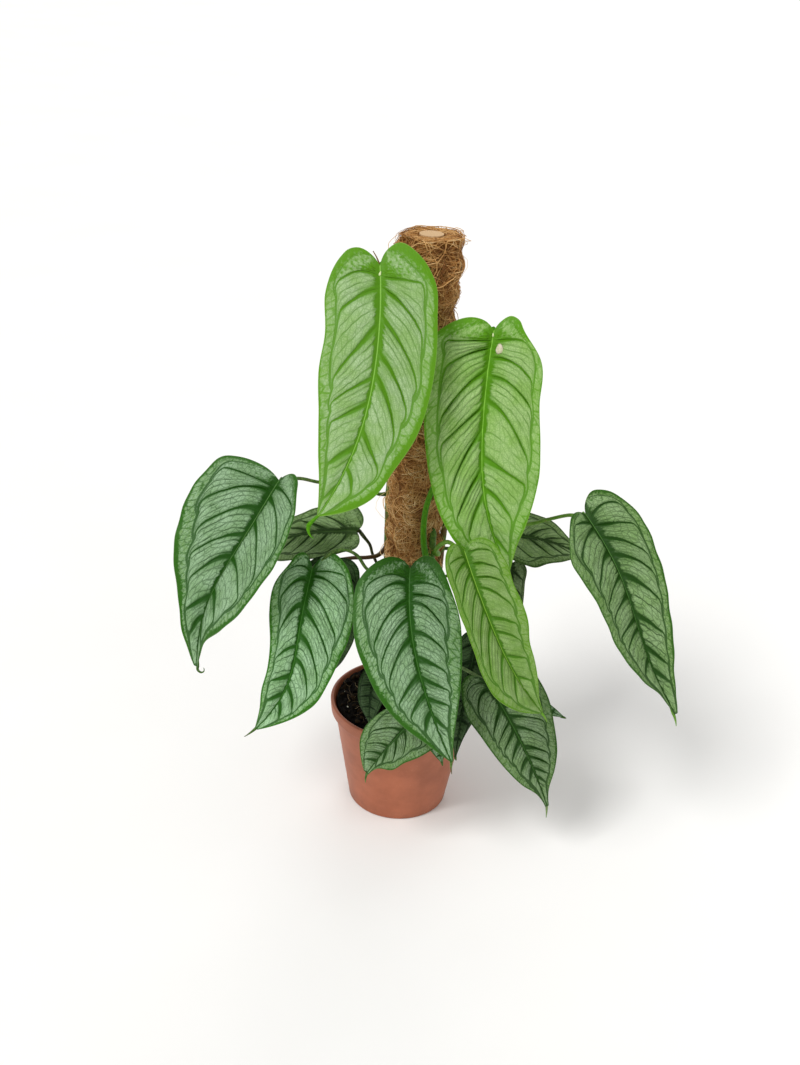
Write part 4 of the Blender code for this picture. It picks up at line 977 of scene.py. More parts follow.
def make_pot(material):
    """A turned pot with a rolled rim, cut by its drain holes."""
    profile = pot_profile()
    angles = turns(POT_STEPS)
    r, z = profile[:, :1], profile[:, 1:]
    rings = np.stack([r * np.cos(angles), r * np.sin(angles), z + 0 * angles], -1)
    index = np.arange(rings.size // 3).reshape(rings.shape[:2])
    low, high = index[:-1], index[1:]
    walls = np.stack([low, high, np.roll(high, -1, 1), np.roll(low, -1, 1)], -1)
    caps = np.stack([index[0], index[-1, ::-1]])
    pot = add_mesh("pot_shell", rings.reshape(-1, 3), [walls.reshape(-1, 4), caps])
    for k in range(DRAIN_HOLES):
        angle = 2 * math.pi * k / DRAIN_HOLES
        cut_hole(pot, DRAIN_RING * math.cos(angle), DRAIN_RING * math.sin(angle))
    pot.data.shade_smooth()
    pot.data.set_sharp_from_angle(angle=POT_SHARP_ANGLE)
    finish_piece(pot, "terracotta_plastic", "pot", material)


def cut_hole(body, x, y):
    """Cut one round drain hole through the pot's floor."""
    line = np.array([(x, y, -3.0), (x, y, 0.0), (x, y, POT_FLOOR + 3)])
    cutter = add_mesh("cutter", *tube(line, np.full(3, DRAIN_RADIUS), HOLE_SIDES))
    step = body.modifiers.new("hole", "BOOLEAN")
    step.operation = "DIFFERENCE"
    step.object = cutter
    step.solver = "EXACT"
    bpy.context.view_layer.update()
    cut = bpy.data.meshes.new_from_object(
        body.evaluated_get(bpy.context.evaluated_depsgraph_get()))
    body.modifiers.remove(step)
    body.data = cut
    bpy.data.objects.remove(cutter, do_unlink=True)


def soil_height(x, y):
    """Height of the soil's heap, highest round the pole."""
    heap = 2.0 * np.exp(-(x * x + y * y) / 45**2)
    crumbs = np.sin(x / 5.1 + 1.3) * np.cos(y / 4.3) + 0.6 * np.sin((x + y) / 3.1)
    return SOIL_TOP + heap + SOIL_RELIEF * 0.5 * crumbs


def rough_soil_height(x, y):
    """The heap with its crumbs, for arrays of places."""
    crumbs = [noise.fractal(Vector((a / 5, b / 5, 3.0)), 0.7, 2.1, 5)
              for a, b in zip(np.ravel(x), np.ravel(y))]
    return soil_height(x, y) + 1.7 * np.reshape(crumbs, np.shape(x))


def make_soil(material):
    """The root ball: straight sides inside the pot's wall and a crumbly top."""
    angles = turns(SOIL_SIDES)
    rim = pot_wall_radius(SOIL_TOP - 4) - POT_WALL - SOIL_GAP
    foot = pot_wall_radius(6) - POT_WALL - SOIL_GAP
    floor = POT_FLOOR + 0.65
    radii = [foot - 3, foot] + list(np.linspace(1, 0.02, SOIL_RINGS) ** 0.8 * rim)
    rings = []
    for k, r in enumerate(radii):
        x, y = r * np.cos(angles), r * np.sin(angles)
        top = rough_soil_height(x, y) if k > 1 else np.full(SOIL_SIDES, floor + 5 * k)
        if k == 2:
            top -= 2.5
        rings.append(np.stack([x, y, top], -1))
    add_piece("soil_bed", loft([rings]), "peat", "soil", material)


def lumps(name, draw, count, sizes, material, sink=0.35):
    """Uneven little stones or crumbs scattered over the soil."""
    ball = bpy.data.meshes.new("ball")
    shape = bmesh.new()
    bmesh.ops.create_icosphere(shape, subdivisions=2, radius=1.0)
    shape.to_mesh(ball)
    shape.free()
    form = np.array([v.co for v in ball.vertices])
    faces = np.array([tuple(face.vertices) for face in ball.polygons])
    bpy.data.meshes.remove(ball)
    points = []
    for _ in range(count):
        r = math.sqrt(draw.uniform(0.17, 1)) * (pot_wall_radius(SOIL_TOP) - 6)
        angle, size = draw.uniform(0, 2 * math.pi), draw.uniform(*sizes)
        x, y = r * math.cos(angle), r * math.sin(angle)
        shift = draw.uniform(0, 50, 3)
        swell = np.array([1 + LUMP_RELIEF * noise.noise(Vector(1.3 * v + shift)) for v in form])
        stretch = draw.uniform(0.7, 1.3, 3) * (1, 1, LUMP_FLATNESS)
        turn = np.array(Matrix.Rotation(draw.uniform(0, 6), 3, Vector(draw.normal(size=3))))
        lump = (form * swell[:, None] * stretch * size) @ turn.T
        points.append(lump + (x, y, rough_soil_height(x, y) + size * sink))
    offsets = np.arange(count)[:, None, None] * len(form)
    shape = (np.concatenate(points), [(faces + offsets).reshape(-1, 3)])
    made = add_piece(name, shape, "peat", "soil", material)
    mark(made, "tone", draw.uniform(0, 1, count).repeat(len(form)))


def make_straw(draw, count, material):
    """Thin roots and straws on the soil."""
    s = np.linspace(0, 1, FIBRE_STEPS)
    length = draw.uniform(6, 26, (count, 1))
    way = draw.uniform(0, 2 * math.pi, (count, 1)) + draw.normal(0, 1.0, (count, 1)) * s
    wall = pot_wall_radius(SOIL_TOP)
    r = np.sqrt(draw.uniform(0.2, 0.8, (count, 1))) * (wall - 8)
    place = draw.uniform(0, 2 * math.pi, (count, 1))
    x = r * np.cos(place) + np.cumsum(np.cos(way), axis=1) * length / FIBRE_STEPS
    y = r * np.sin(place) + np.cumsum(np.sin(way), axis=1) * length / FIBRE_STEPS
    kept = np.minimum(1, (wall - 5) / np.hypot(x, y))
    x, y = x * kept, y * kept
    z = rough_soil_height(x, y) + 0.4 + draw.uniform(0, 1.2, (count, 1)) * np.sin(math.pi * s)
    widths = draw.uniform(0.15, 0.45, (count, 1)) * (1 - 0.4 * s)
    tone = draw.uniform(0, 1, (count, 1))
    add_strands("soil_straw", np.stack([x, y, z], -1), widths, 5, tone, material, "peat", "soil")


def srgb(*display):
    """A linear colour from its red, green and blue of 0 to 255."""
    parts = np.array(display) / 255
    linear = np.where(parts <= 0.04045, parts / 12.92, ((parts + 0.055) / 1.055) ** 2.4)
    return np.append(linear, 1.0)


class Number:
    """A number that a material works out, so that a pattern can be written as a formula."""

    def __init__(self, tree, socket):
        self.tree, self.socket = tree, socket

    def math(self, operation, *others):
        node = self.tree.nodes.new("ShaderNodeMath")
        node.operation = operation
        for slot, value in zip(node.inputs, (self, *others)):
            feed(self.tree, slot, value)
        return Number(self.tree, node.outputs[0])

    fract = partialmethod(math, "FRACT")
    floor = partialmethod(math, "FLOOR")
    sine = partialmethod(math, "SINE")
    size = partialmethod(math, "ABSOLUTE")
    power = partialmethod(math, "POWER")
    least = partialmethod(math, "MINIMUM")
    most = partialmethod(math, "MAXIMUM")
    __add__ = __radd__ = partialmethod(math, "ADD")
    __mul__ = __rmul__ = partialmethod(math, "MULTIPLY")
    __sub__ = partialmethod(math, "SUBTRACT")
    __truediv__ = partialmethod(math, "DIVIDE")
    __rsub__ = partialmethod(math, "MULTIPLY_ADD", -1.0)

    def __rtruediv__(self, other):
        return self.power(-1.0) * other

    def rise(self, low, high):
        """0 below low, 1 above high and smooth between them."""
        node = self.tree.nodes.new("ShaderNodeMapRange")
        node.interpolation_type = "SMOOTHSTEP"
        for slot, value in (("Value", self), ("From Min", low), ("From Max", high)):
            feed(self.tree, node.inputs[slot], value)
        return Number(self.tree, node.outputs[0])

    def line(self, half_width, soft=0.35):
        """1 on a line and 0 beyond it, where self is the distance from its middle."""
        return 1 - self.rise(half_width * (1 - soft), half_width * (1 + soft))


def feed(tree, slot, value):
    """Link what a node makes, or set a plain number or a colour's display values."""
    if isinstance(value, Number):
        value = value.socket
    if isinstance(value, bpy.types.NodeSocket):
        tree.links.new(value, slot)
    else:
        slot.default_value = srgb(*value) if isinstance(value, tuple) else value


class Look:
    """A Principled material that is put together from patterns."""

    def __init__(self, name, roughness=0.5, specular=0.5):
        self.material = bpy.data.materials.new(name)
        self.material.use_nodes = True
        self.tree = self.material.node_tree
        self.shader = self.tree.nodes["Principled BSDF"]
        self.shader.inputs["Roughness"].default_value = roughness
        self.shader.inputs["Specular IOR Level"].default_value = specular

    def node(self, kind, inputs, **settings):
        """The outputs of a new node; inputs are given by name or by number."""
        made = self.tree.nodes.new("ShaderNode" + kind)
        for key, value in settings.items():
            setattr(made, key, value)
        for key, value in inputs.items():
            feed(self.tree, made.inputs[key], value)
        return made.outputs

    def number(self, socket):
        return Number(self.tree, socket)

    def mark(self, name):
        """One number that is stored on the mesh."""
        return self.number(self.node("Attribute", {}, attribute_name=name)["Fac"])

    def parts(self, vector):
        """A vector's x, y and z."""
        return [self.number(part) for part in self.node("SeparateXYZ", {0: vector})]

    def marks(self, name):
        """Three numbers that are stored on the mesh, and the vector that they make."""
        vector = self.node("Attribute", {}, attribute_name=name)["Vector"]
        return self.parts(vector), vector

    def place(self):
        """Object coordinates in millimetres."""
        place = self.node("TexCoord", {})["Object"]
        return self.node("VectorMath", {0: place, "Scale": 1 / MM}, operation="SCALE")[0]

    def vector(self, x, y, z=0.0):
        return self.node("CombineXYZ", {0: x, 1: y, 2: z})[0]

    def noise(self, vector, scale, detail=2.0, rough=0.5):
        inputs = {"Vector": vector, "Scale": scale, "Detail": detail, "Roughness": rough}
        return self.number(self.node("TexNoise", inputs)["Fac"])

    def chance(self, number):
        """A random number from 0 to 1 for each whole number."""
        made = self.node("TexWhiteNoise", {"W": number.floor()}, noise_dimensions="1D")
        return self.number(made["Value"])

    def cell_edge(self, vector, cell):
        """Distance to the nearest wall of a net of uneven cells, in the vector's unit."""
        made = self.node("TexVoronoi", {"Vector": vector, "Scale": 1 / cell},
                         feature="DISTANCE_TO_EDGE", voronoi_dimensions="2D")
        return self.number(made["Distance"]) * cell

    def cells(self, vector, cell):
        """A random number for each cell of an uneven net."""
        colour = self.node("TexVoronoi", {"Vector": vector, "Scale": 1 / cell})["Color"]
        return self.number(self.node("SeparateColor", {0: colour})[0])

    def mix(self, share, first, second):
        """A colour between two others."""
        return self.node("Mix", {"Factor": share, 6: first, 7: second}, data_type="RGBA")[2]

    def ramp(self, share, *colours):
        """A colour from a list that is spread evenly from 0 to 1."""
        made = self.tree.nodes.new("ShaderNodeValToRGB")
        feed(self.tree, made.inputs[0], share)
        stops = made.color_ramp.elements
        while len(stops) < len(colours):
            stops.new(0.5)
        for k, colour in enumerate(colours):
            stops[k].position = k / (len(colours) - 1)
            stops[k].color = srgb(*colour)
        return made.outputs[0]

    def finish(self, colour, roughness=None, height=None, depth=0.3):
        """Plug the patterns into the shader; depth is the bump's height in millimetres."""
        feed(self.tree, self.shader.inputs["Base Color"], colour)
        if roughness is not None:
            feed(self.tree, self.shader.inputs["Roughness"], roughness)
        if height is not None:
            bump = self.node("Bump", {"Distance": depth * MM, "Height": height})[0]
            feed(self.tree, self.shader.inputs["Normal"], bump)
        return self.material


BLADE_COLOURS = ("vein", "silver", "patch", "margin", "speck", "line", "edge", "under")


def blade_palette(*colours, **strengths):
    """A blade's colours, in linear light, and how strong its patterns are."""
    return {key: srgb(*colour) for key, colour in zip(BLADE_COLOURS, colours)} | strengths


def tinted(name, red, green, blue, **changed):
    """A palette whose red, green and blue are each made stronger or weaker."""
    tint = np.array((red, green, blue, 1.0))
    return {key: value * tint if key in BLADE_COLOURS else value
            for key, value in PALETTES[name].items()} | changed


# Patch is the second silver, speck lies between the margin's bars, line runs on the midrib and edge is
# a painted highlight on the margin.
# Net, thin and bars are how strong the small veins and the bars are, and wedge is how many
# millimetres wider a side vein is where it leaves the midrib.
PALETTES = {
    "young": blade_palette(
        (74, 126, 12), (161, 187, 139), (142, 175, 109), (86, 140, 16), (118, 162, 66),
        (136, 186, 80), (136, 172, 84), (128, 160, 92),
        net=0.4, thin=0.9, wedge=2.3, bars=0.75),
    "young_warm": blade_palette(
        (52, 100, 10), (142, 170, 104), (120, 154, 76), (88, 136, 20), (116, 154, 56),
        (140, 182, 66), (130, 164, 70), (128, 160, 80),
        net=0.3, thin=0.52, wedge=1.5, bars=0.7),
    "grown": blade_palette(
        (20, 64, 6), (152, 184, 144), (133, 167, 121), (46, 98, 12), (108, 148, 74),
        (62, 110, 40), (96, 132, 72), (92, 124, 84),
        net=0.6, thin=1.0, wedge=3.2, bars=0.75),
    # Painted shade: the grown colours darkened for leaves that hang low in shade.
    "grown_dull": blade_palette(
        (16, 48, 4), (134, 160, 118), (118, 147, 97), (46, 88, 16), (98, 132, 60), (60, 104, 38),
        (88, 120, 66), (88, 116, 76),
        net=0.6, thin=1.0, wedge=3.0, bars=0.6),
    # Painted shade: dark colours for leaves that hang in shade, the second set for a greyer leaf.
    "shaded": blade_palette(
        (18, 40, 12), (84, 112, 70), (70, 98, 56), (28, 58, 16), (78, 106, 58), (48, 80, 34),
        (70, 96, 58), (62, 86, 54),
        net=0.4, thin=0.8, wedge=2.3, bars=0.6),
    "shaded_grey": blade_palette(
        (26, 46, 14), (134, 156, 112), (116, 140, 90), (50, 76, 26), (108, 128, 78),
        (60, 86, 36), (90, 108, 66), (88, 104, 70),
        net=0.5, thin=0.8, wedge=2.3, bars=0.6),
}
PALETTES["young_lush"] = tinted("young", 0.98, 1.04, 0.76, speck=srgb(132, 176, 84))
PALETTES["grown_lined"] = dict(PALETTES["grown"], line=srgb(112, 152, 88))
# The next two lighten the darkened grown colours a little, so most of their painted shade stays.
PALETTES["grown_light"] = tinted("grown_dull", 1.14, 1.18, 1.02, line=srgb(92, 138, 66))
PALETTES["grown_soft"] = tinted("grown_dull", 1.08, 1.1, 1.12)
PALETTES["grown_pale"] = tinted("grown", 1.24, 1.27, 1.26)
# Both lighten the grey shaded colours: the pale set by much, as painted light against the shadow that
# the top right leaf casts on the back right leaf; the olive set by less, so part of its painted shade
# stays.
PALETTES["shaded_pale"] = tinted("shaded_grey", 1.5, 1.6, 1.35)
PALETTES["shaded_olive"] = tinted("shaded_grey", 1.26, 1.36, 1.18)


# Petiole colours: green, its paler streaks, brown and how much is browned
PETIOLES = {
    "bright": ((60, 120, 0), (80, 142, 2), (66, 112, 4), 0.12),
    "olive": ((84, 128, 40), (110, 150, 60), (132, 96, 74), 0.28),
    "pale": ((84, 132, 34), (112, 152, 54), (102, 108, 50), 0.2),
    "dull": ((54, 84, 30), (92, 120, 58), (92, 74, 44), 0.45),
    "grey": ((98, 124, 76), (128, 148, 98), (104, 92, 60), 0.2),
    "dark": ((34, 44, 18), (58, 66, 28), (60, 44, 26), 0.5),
    "brown": ((46, 50, 22), (66, 62, 32), (74, 56, 36), 0.6),
}


def bent_veins(look, number, t, spacing, half_width, lay):
    """The side veins' number once they bend forward, its slope, and where their loops lie."""
    scallop = ((number * math.pi + math.pi / 2).sine().size() - 0.6) * 0.04
    loop = scallop + (look.noise(lay, 0.03, 1) - 0.5) * 0.09 + LOOP
    turned = ((t - loop) / LOOP_TURN + 1).most(0.0).least(LOOP_MOST)
    rest = 1 - turned
    shift = turned * turned / rest * LOOP_SWAY
    steep = turned * (2 - turned) / (rest * rest) * (LOOP_SWAY / LOOP_TURN) / half_width
    flat = 1 / spacing
    sway = (look.noise(lay, 0.055, 2) - 0.5) * 5.0 * t / spacing
    return number + sway - shift, (steep * steep + flat * flat).power(0.5), loop


def main_veins(look, bent, slope, past, from_rib, along, lay, in_lobe, feather, wedge):
    """Shares of the midrib and the main side veins, and of the green that runs beside them.

    The wedge is how many millimetres wider a side vein is where it leaves the midrib.
    """
    part = bent.fract()
    to_main = (part.least(1 - part) / slope).most(past)
    strength = look.chance(bent + 0.5) * 0.5 + 0.7
    width = ((1 - from_rib.rise(0, 24)) * wedge + 0.9) * (1 - along * 0.3) * strength
    at_loop = past.rise(-5, 1) * (look.noise(lay, 0.05, 2).rise(0.35, 0.62) * 0.35 + 0.3)
    width = (width + 0.15) * (1 - at_loop) * (1 - in_lobe * past.rise(-6, -1) * 0.9)
    near_main = to_main + feather * 0.5
    halo = near_main.line(width * 2.2, 0.6) * (0.4 - past.rise(-8, -2) * 0.3)
    tip_ward = 1 - along
    rib_width = tip_ward * tip_ward * 3.2 + tip_ward * 1.8 + 0.9
    rib = (from_rib + feather).line(rib_width, 0.3)
    branch = near_main.line(width, 0.4) * (1 - past.rise(-6, 0) * 0.15)
    return branch.most(rib), halo


def vein_pattern(look, number, t, spacing, from_rib, half_width, along, lay, palette):
    """Shares of main veins, their halo, thin veins and margin bars, and the way past the loops."""
    streaks = look.noise(look.vector(number * 9.0, t * 2.2, along), 1.0, 3) - 0.5
    ragged = look.noise(lay, 0.7, 4, 0.6) - 0.5
    near_rib = 1 - from_rib.rise(3, 20)
    feather = (streaks * near_rib * 8.0 + ragged * 2.6) * (1.2 - along)
    bent, slope, loop = bent_veins(look, number, t, spacing, half_width, lay)
    past = (t - loop) * half_width
    one_side = number - (number / OTHER_SIDE).floor() * OTHER_SIDE
    in_lobe = 1 - one_side.rise(0.2, 1.0)
    wedge = (spacing.rise(3, 18) * 0.6 + 0.4) * palette["wedge"]
    main, halo = main_veins(look, bent, slope, past, from_rib, along, lay, in_lobe, feather, wedge)

    wiggle = (look.noise(look.vector(number * 1.3, t * 2.6, along), 1.0, 2) - 0.5) * 1.3
    quarters = bent * THIN_VEINS + wiggle
    quarter = quarters.fract()
    to_thin = quarter.least(1 - quarter) / slope / THIN_VEINS
    thin = (to_thin + ragged * 0.45).line((1 - from_rib.rise(0, 14)) * 0.5 + 0.45, 0.45)
    broken = look.noise(lay, 0.09, 2).rise(0.34, 0.56)
    strong = look.chance(quarters + 0.5) * 0.5 + 0.5
    thin = thin * strong * (broken * 0.5 + 0.5) * one_side.rise(0.4, 1.8)
    thin = thin * (1 - past.rise(-3, 0)) * (1 - along.rise(0.84, 0.96)) * spacing.rise(5, 20)

    net = look.cell_edge(look.vector(number * 4.2, from_rib / 4.8), 1.0).line(0.055, 0.6)
    sideways, forward, _ = look.parts(lay)
    cells = look.cell_edge(look.vector(sideways * 0.65, forward - from_rib * 0.7), MARGIN_CELL)
    bars = (cells + ragged * 0.9).line(0.65, 0.6) * past.rise(0.0, 0.8)
    bars = bars * (look.noise(lay, 0.1, 2).rise(0.3, 0.6) * 0.6 + 0.4)
    cushion = (quarter * math.pi).sine() * (1 - past.rise(-14, 0)) * from_rib.rise(1, 6)
    thin = (thin * palette["thin"]).most(net * palette["net"])
    return main, halo, thin, bars, past, ragged, cushion


def leaf_look(name, palette):
    """A blade's upper side: silver between feathered green veins, and a green margin.

    Distances are in millimetres, on a blade of the usual length.
    """
    look = Look("leaf_" + name, specular=0.16)
    (number, t, silver_share), _ = look.marks("veins")
    (_, _, along), lay = look.marks("lay")
    (spacing, from_rib, from_edge), _ = look.marks("sizes")
    main, halo, minor, bars, past, ragged, cushion = vein_pattern(
        look, number, t, spacing, from_rib, from_rib + from_edge, along, lay, palette)

    fine_net = look.cell_edge(lay, FINE_CELL).line(0.22, 0.7) * 0.3
    blotch = look.noise(lay, 0.33, 4, 0.6) - 0.5
    silver = (silver_share + blotch * 1.4 + ragged * 0.5).rise(0.26, 0.74)

    clouds = look.noise(lay, 0.05, 3).rise(0.35, 0.65)
    dust = look.noise(lay, 1.3, 3, 0.6)
    plate = look.mix(clouds, palette["silver"], palette["patch"])
    plate = look.mix(past.rise(-0.5, 1.5) * (blotch * 2.0 + 0.36), plate, palette["speck"])
    plate = look.mix((dust - 0.5) * 1.1 + 0.1, plate, palette["vein"])
    margin = look.mix((blotch + 0.5) * 0.5, palette["margin"], palette["vein"])
    body = look.mix(silver, margin, plate)
    haloed = look.mix(halo.most(bars * palette["bars"]), body, palette["margin"])
    threads = minor.most(fine_net) * (silver * 0.65 + 0.35)
    threaded = look.mix(threads * 0.9, haloed, palette["vein"])
    green = look.mix(dust * 0.5, palette["vein"], palette["margin"])
    veined = look.mix(main * (silver * 0.3 + 0.7), threaded, green)
    lined = look.mix(from_rib.line((1 - along) * 0.25 + 0.3) * 0.8, veined, palette["line"])
    # Painted highlight: a pale line along the blade's edge.
    edge_highlighted = look.mix(from_edge.line(0.3) * 0.4, lined, palette["edge"])

    puff = look.mark("quilt")
    grooves = main.most(minor) * (1 - past.rise(-8, 0) * 0.7)
    height = (1 - grooves) * 0.7 + dust * 0.25 + look.noise(lay, 0.5, 3) * 0.4
    height = height + cushion * puff * 0.8
    return look.finish(edge_highlighted, 0.36 + dust * 0.16 + silver * 0.06, height, 0.7)


def under_look(name, palette):
    """A blade's pale, matt underside, with its veins standing out a little."""
    look = Look("under_" + name, roughness=0.6, specular=0.3)
    (number, t, _), _ = look.marks("veins")
    _, lay = look.marks("lay")
    (spacing, from_rib, _), _ = look.marks("sizes")
    part = (number + (look.noise(lay, 0.055, 2) - 0.5) * 7.0 * t / spacing).fract()
    lateral = (part.least(1 - part) * spacing).line(0.5 + (1 - t) * 0.6)
    net = look.cell_edge(lay, UNDER_CELL).line(0.25, 0.6) * 0.5
    veins = lateral.most(from_rib.line(1.2)).most(net)
    cloudy = look.noise(lay, 0.08, 3)
    shade = look.mix(cloudy * 0.35, palette["under"], palette["vein"])
    colour = look.mix(veins * 0.4, shade, palette["line"])
    return look.finish(colour, 0.55 + cloudy * 0.1, veins + look.noise(lay, 0.9, 2) * 0.4, 0.3)


def stalk_look(name, green, pale, brown, browned):
    """A smooth petiole with faint lengthwise streaks, browned in places."""
    look = Look(name, specular=0.12)
    place = look.place()
    streaks = look.noise(place, 0.35, 4, 0.6)
    blotch = look.noise(place, 0.045, 3).rise(1 - browned, 1.15 - browned)
    specks = look.cells(place, SPECK_CELL).rise(0.93, 0.97) * 0.5
    colour = look.mix(streaks.rise(0.35, 0.7), green, pale)
    colour = look.mix(blotch.most(specks), colour, brown)
    return look.finish(colour, 0.34 + streaks * 0.2, streaks + look.noise(place, 1.4, 2) * 0.4, 0.15)


def root_look():
    look = Look("aerial_root", roughness=0.8, specular=0.2)
    mottle = look.noise(look.place(), 0.5, 4, 0.65)
    colour = look.ramp(mottle.rise(0.3, 0.7), (66, 46, 26), (112, 84, 50), (146, 118, 76))
    return look.finish(colour, None, mottle, 0.3)


def coir_ground_look():
    """The matted ground under the fibres."""
    look = Look("coir_ground", roughness=0.95, specular=0.1)
    place = look.place()
    matted = look.noise(place, 0.35, 5, 0.7)
    colour = look.ramp(matted.rise(0.3, 0.72), (78, 44, 16), (134, 88, 40), (172, 124, 68))
    return look.finish(colour, None, matted + look.noise(place, 1.3, 3), 0.9)


def coir_fibre_look():
    """Fibres of many tones, a little darker towards the pole's open top: painted light and shade that
    make up for the leaves' shadow on the lower part.
    """
    look = Look("coir_fibre", roughness=0.7, specular=0.25)
    place = look.place()
    # Painted shade towards the open top, so that it matches the lower part that the leaves shade.
    top_painted_shade = look.parts(place)[2].rise(330, 560)
    tone = look.mark("tone") * 0.82 + look.noise(place, 0.12, 3) * 0.36 - 0.06 - top_painted_shade * 0.1
    colour = look.ramp(tone, (122, 76, 32), (170, 118, 60), (202, 150, 88), (222, 178, 116),
                       (238, 210, 158))
    return look.finish(colour, 0.6 + look.mark("tone") * 0.25, look.noise(place, 2.5, 2), 0.1)


def peat_look():
    """Dark, damp peat."""
    look = Look("peat_bed", specular=0.08)
    place = look.place()
    grain = look.noise(place, 0.4, 5, 0.7)
    damp = look.noise(place, 0.05, 2)
    colour = look.ramp(grain.rise(0.3, 0.75), (6, 4, 3), (14, 11, 7), (34, 26, 17))
    return look.finish(colour, 0.95 - damp * 0.25, grain + look.noise(place, 1.6, 3) * 0.6, 1.2)


def crumb_look():
    look = Look("peat_crumb", roughness=0.9, specular=0.08)
    place = look.place()
    tone = look.mark("tone") * 0.8 + look.noise(place, 0.8, 3) * 0.4 - 0.1
    colour = look.ramp(tone, (6, 4, 3), (17, 13, 8), (36, 28, 18), (68, 52, 34))
    return look.finish(colour, None, look.noise(place, 1.5, 3), 0.4)


def perlite_look():
    look = Look("perlite", roughness=0.85, specular=0.3)
    pores = look.noise(look.place(), 1.2, 4, 0.7)
    colour = look.ramp(pores.rise(0.3, 0.7), (150, 144, 130), (214, 210, 198), (236, 234, 226))
    return look.finish(colour, None, pores, 0.4)


def straw_look():
    look = Look("soil_root", roughness=0.75, specular=0.3)
    place = look.place()
    tone = look.mark("tone") * 0.8 + look.noise(place, 0.5, 3) * 0.3
    colour = look.ramp(tone, (40, 28, 18), (74, 56, 36), (112, 92, 62), (150, 128, 92))
    return look.finish(colour, None, look.noise(place, 2.0, 2), 0.1)


def pot_look():
    """Moulded terracotta-coloured plastic with faint turning lines, scuffs and soil dust."""
    look = Look("terracotta_plastic", specular=0.45)
    place = look.place()
    height = look.parts(place)[2]
    mottle = look.noise(place, 0.03, 4, 0.6)
    grain = look.noise(place, 2.2, 3)
    lines = look.noise(look.vector(0.0, 0.0, height), 1.1, 2)
    colour = look.mix(mottle.rise(0.3, 0.7), (152, 84, 54), (172, 98, 66))
    scuffs = look.noise(look.vector(height * 0.2, mottle * 30.0), 1.0, 3).rise(0.62, 0.75) * 0.25
    colour = look.mix(scuffs, colour, (206, 150, 122))
    dust = look.noise(place, 0.09, 5, 0.7) * (1 - height.rise(0, 40)) + height.rise(112, 122) * 0.4
    colour = look.mix(dust.rise(0.35, 0.9) * 0.6, colour, (92, 62, 44))
    return look.finish(colour, 0.42 + grain * 0.14 + scuffs, grain * 0.5 + lines * 0.6, 0.08)


def wood_look():
    """Pale dowel wood: rings on its end, long grain on its side."""
    look = Look("pale_wood", specular=0.25)
    place = look.place()
    x, y, z = look.parts(place)
    off_centre = ((x + 5.0) * (x + 5.0) + (y - 7.0) * (y - 7.0)).power(0.5)
    rings = ((off_centre + look.noise(place, 0.08, 2) * 3.0) * 0.62).fract().rise(0.2, 1.0)
    grain = look.noise(look.vector(x * 1.6, y * 1.6, z * 0.03), 1.0, 4, 0.6)
    shade = rings * 0.5 + grain * 0.5
    colour = look.ramp(shade, (220, 190, 148), (200, 164, 118), (168, 128, 84))
    return look.finish(colour, 0.6 + grain * 0.15, shade, 0.15)


def floor_look():
    look = Look("floor", roughness=0.7, specular=0.2)
    cloudy = look.noise(look.place(), 0.004, 3)
    colour = look.mix(cloudy, (240, 239, 236), (246, 245, 243))
    return look.finish(colour, 0.65 + cloudy * 0.1)


def add_camera():
    """The photograph's camera: its focal length holds for the picture's long side."""
    tilt, roll = math.radians(CAMERA_TILT), math.radians(CAMERA_ROLL)
    ahead = Vector((0, math.cos(tilt), -math.sin(tilt)))
    level, upright = Vector((1, 0, 0)), Vector((0, math.sin(tilt), math.cos(tilt)))
    right = math.cos(roll) * level + math.sin(roll) * upright
    up = math.cos(roll) * upright - math.sin(roll) * level
    data = bpy.data.cameras.new("camera")
    data.sensor_width = SENSOR
    data.lens = SENSOR * FOCAL_PIXELS / PICTURE_HEIGHT
    data.clip_start, data.clip_end = 0.01, 200
    camera = bpy.data.objects.new("camera", data)
    bpy.context.scene.collection.objects.link(camera)
    turn = Matrix((right, up, -ahead)).transposed().to_4x4()
    camera.matrix_world = Matrix.Translation(Vector(CAMERA_PLACE) * MM) @ turn
    bpy.context.scene.camera = camera


def add_light(name, come_from, strength, softness):
    """A far, soft light that comes from a direction; softness is its width in degrees."""
    data = bpy.data.lights.new(name, "SUN")
    data.energy, data.angle = strength, math.radians(softness)
    light = bpy.data.objects.new(name, data)
    light.rotation_euler = (-Vector(come_from)).to_track_quat("-Z", "Y").to_euler()
    bpy.context.scene.collection.objects.link(light)


def add_studio():
    """A pale floor, soft lights and an even white surrounding."""
    corners = np.array([(-1, -1, 0), (1, -1, 0), (1, 1, 0), (-1, 1, 0)]) * FLOOR_REACH
    floor = add_mesh("floor", corners - (0, 0, FLOOR_DROP), [np.array([[0, 1, 2, 3]])])
    floor.data.materials.append(floor_look())
    add_light("key", (-0.45, -0.5, 0.8), 2.05, 20)
    add_light("fill", (0.6, -0.7, 0.35), 0.4, 50)
    add_light("back", (0.2, 0.9, 0.6), 0.5, 40)
    world = bpy.data.worlds.new("studio")
    world.use_nodes = True
    glow = world.node_tree.nodes["Background"]
    glow.inputs["Color"].default_value = (1.0, 1.0, 1.0, 1.0)
    glow.inputs["Strength"].default_value = 0.54
    bpy.context.scene.world = world
    bpy.context.scene.view_settings.view_transform = "Standard"


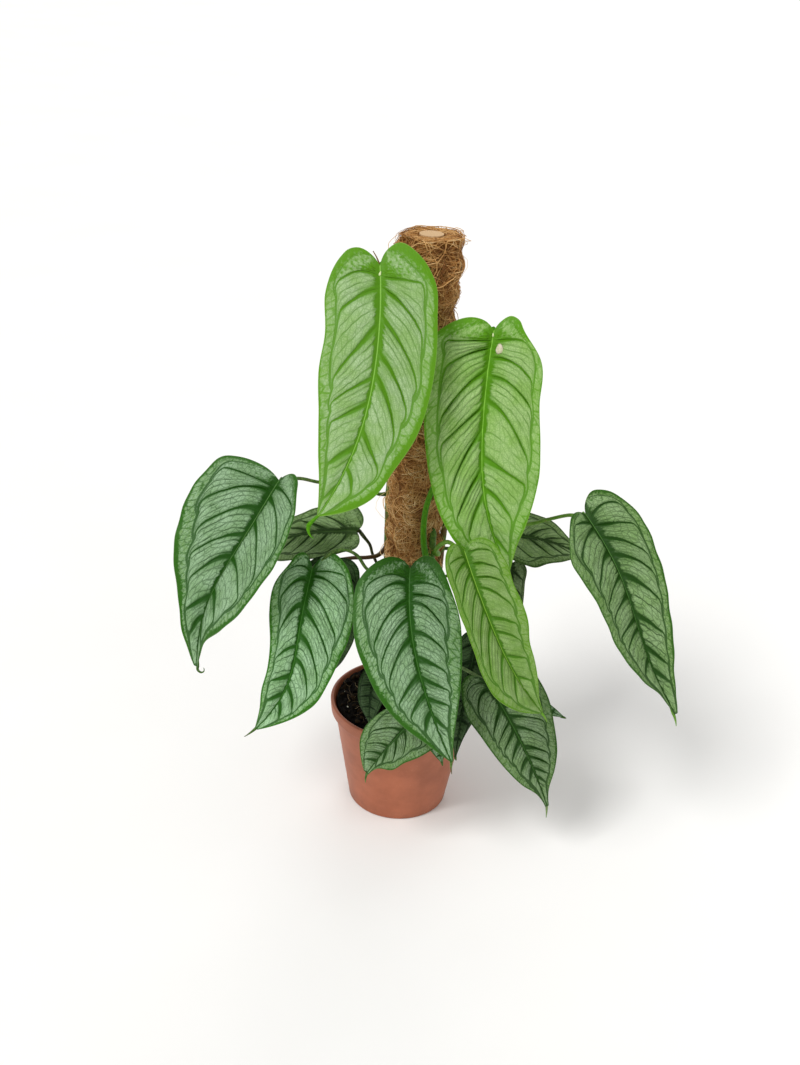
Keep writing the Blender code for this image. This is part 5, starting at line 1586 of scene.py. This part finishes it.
def make_marks_and_twig(twig_look):
    """The scar and pale joints on the two top leaves, and the twig at the base of one."""
    joint = stalk_look("pale_joint", (186, 206, 140), (206, 218, 168), (176, 186, 126), 0.3)
    scar = stalk_look("leaf_scar", (178, 180, 140), (214, 202, 184), (168, 150, 122), 0.4)
    slot = "leaf_young"
    make_spot("scar_top_right", "leaf_top_right", 1, 15.0, 7.4, (3.0, 5.0), 0.4, scar, slot)
    make_spot("joint_top_right", "leaf_top_right", 0, 3.0, 0.3, (0.8, 2.0), 0.3, joint, slot)
    make_spot("joint_top_left", "leaf_top_left", 0, 6.0, 0.2, (0.9, 2.4), 0.3, joint, slot)
    ends = ((-40, -59, 596), (-46.5, -59, 609))
    make_twig("twig_top_left", "leaf_top_left", ends, 0.7, twig_look, slot)


def make_soil_and_pot(draw):
    make_pot(pot_look())
    make_soil(peat_look())
    lumps("soil_crumbs", draw, CRUMBS, (0.7, 2.6), crumb_look())
    lumps("soil_perlite", draw, PERLITE, (0.4, 1.3), perlite_look(), sink=0.5)
    make_straw(draw, STRAWS, straw_look())


def make_pole(draw, core):
    """The wooden core's look, the coir wrap and its layers of fibres."""
    core.data.materials.clear()
    core.data.materials.append(wood_look())
    make_coir_wrap(coir_ground_look())
    strand = coir_fibre_look()
    for k in range(FIBRE_PIECES):
        make_fibres(f"coir_fibres_{k + 1}", draw, FIBRES_EACH, strand)
    make_fibres("coir_strays", draw, STRAYS, strand, lengths=(25, 70), lift=(0.6, 2.0), loop=3.0)
    make_fibres("coir_tufts", draw, TUFTS, strand, lengths=(12, 34), lift=(0.5, 1.8), loop=1.3,
                radius=(0.3, 0.5), slant=0.7)
    make_top_fibres(draw, TOP_FIBRES, strand)


def make_leaves():
    uppers = {key: leaf_look(key, palette) for key, palette in PALETTES.items()}
    unders = {key: under_look(key, palette) for key, palette in PALETTES.items()}
    stalks = {key: stalk_look("petiole_" + key, *colours) for key, colours in PETIOLES.items()}
    for k, (name, leaf) in enumerate(LEAVES.items()):
        slot = "leaf_" + leaf.look.split("_")[0]
        make_blade(name, leaf, (uppers[leaf.look], unders[leaf.look]), slot, phase=PHASE_STEP * k)
        make_stalk(name, leaf, stalks[leaf.stalk], slot)


def main():
    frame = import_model()
    draw = np.random.default_rng(SEED)
    make_soil_and_pot(draw)
    make_pole(draw, frame["nodes"]["pole_core"])
    stem = stalk_look("climbing_stem", (62, 96, 34), (96, 128, 54), (104, 84, 50), 0.5)
    root = root_look()
    for name, vine in VINES.items():
        make_vine(name, vine, stem, root, draw)
    make_leaves()
    make_marks_and_twig(root)
    add_studio()
    add_camera()
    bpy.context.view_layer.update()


main()
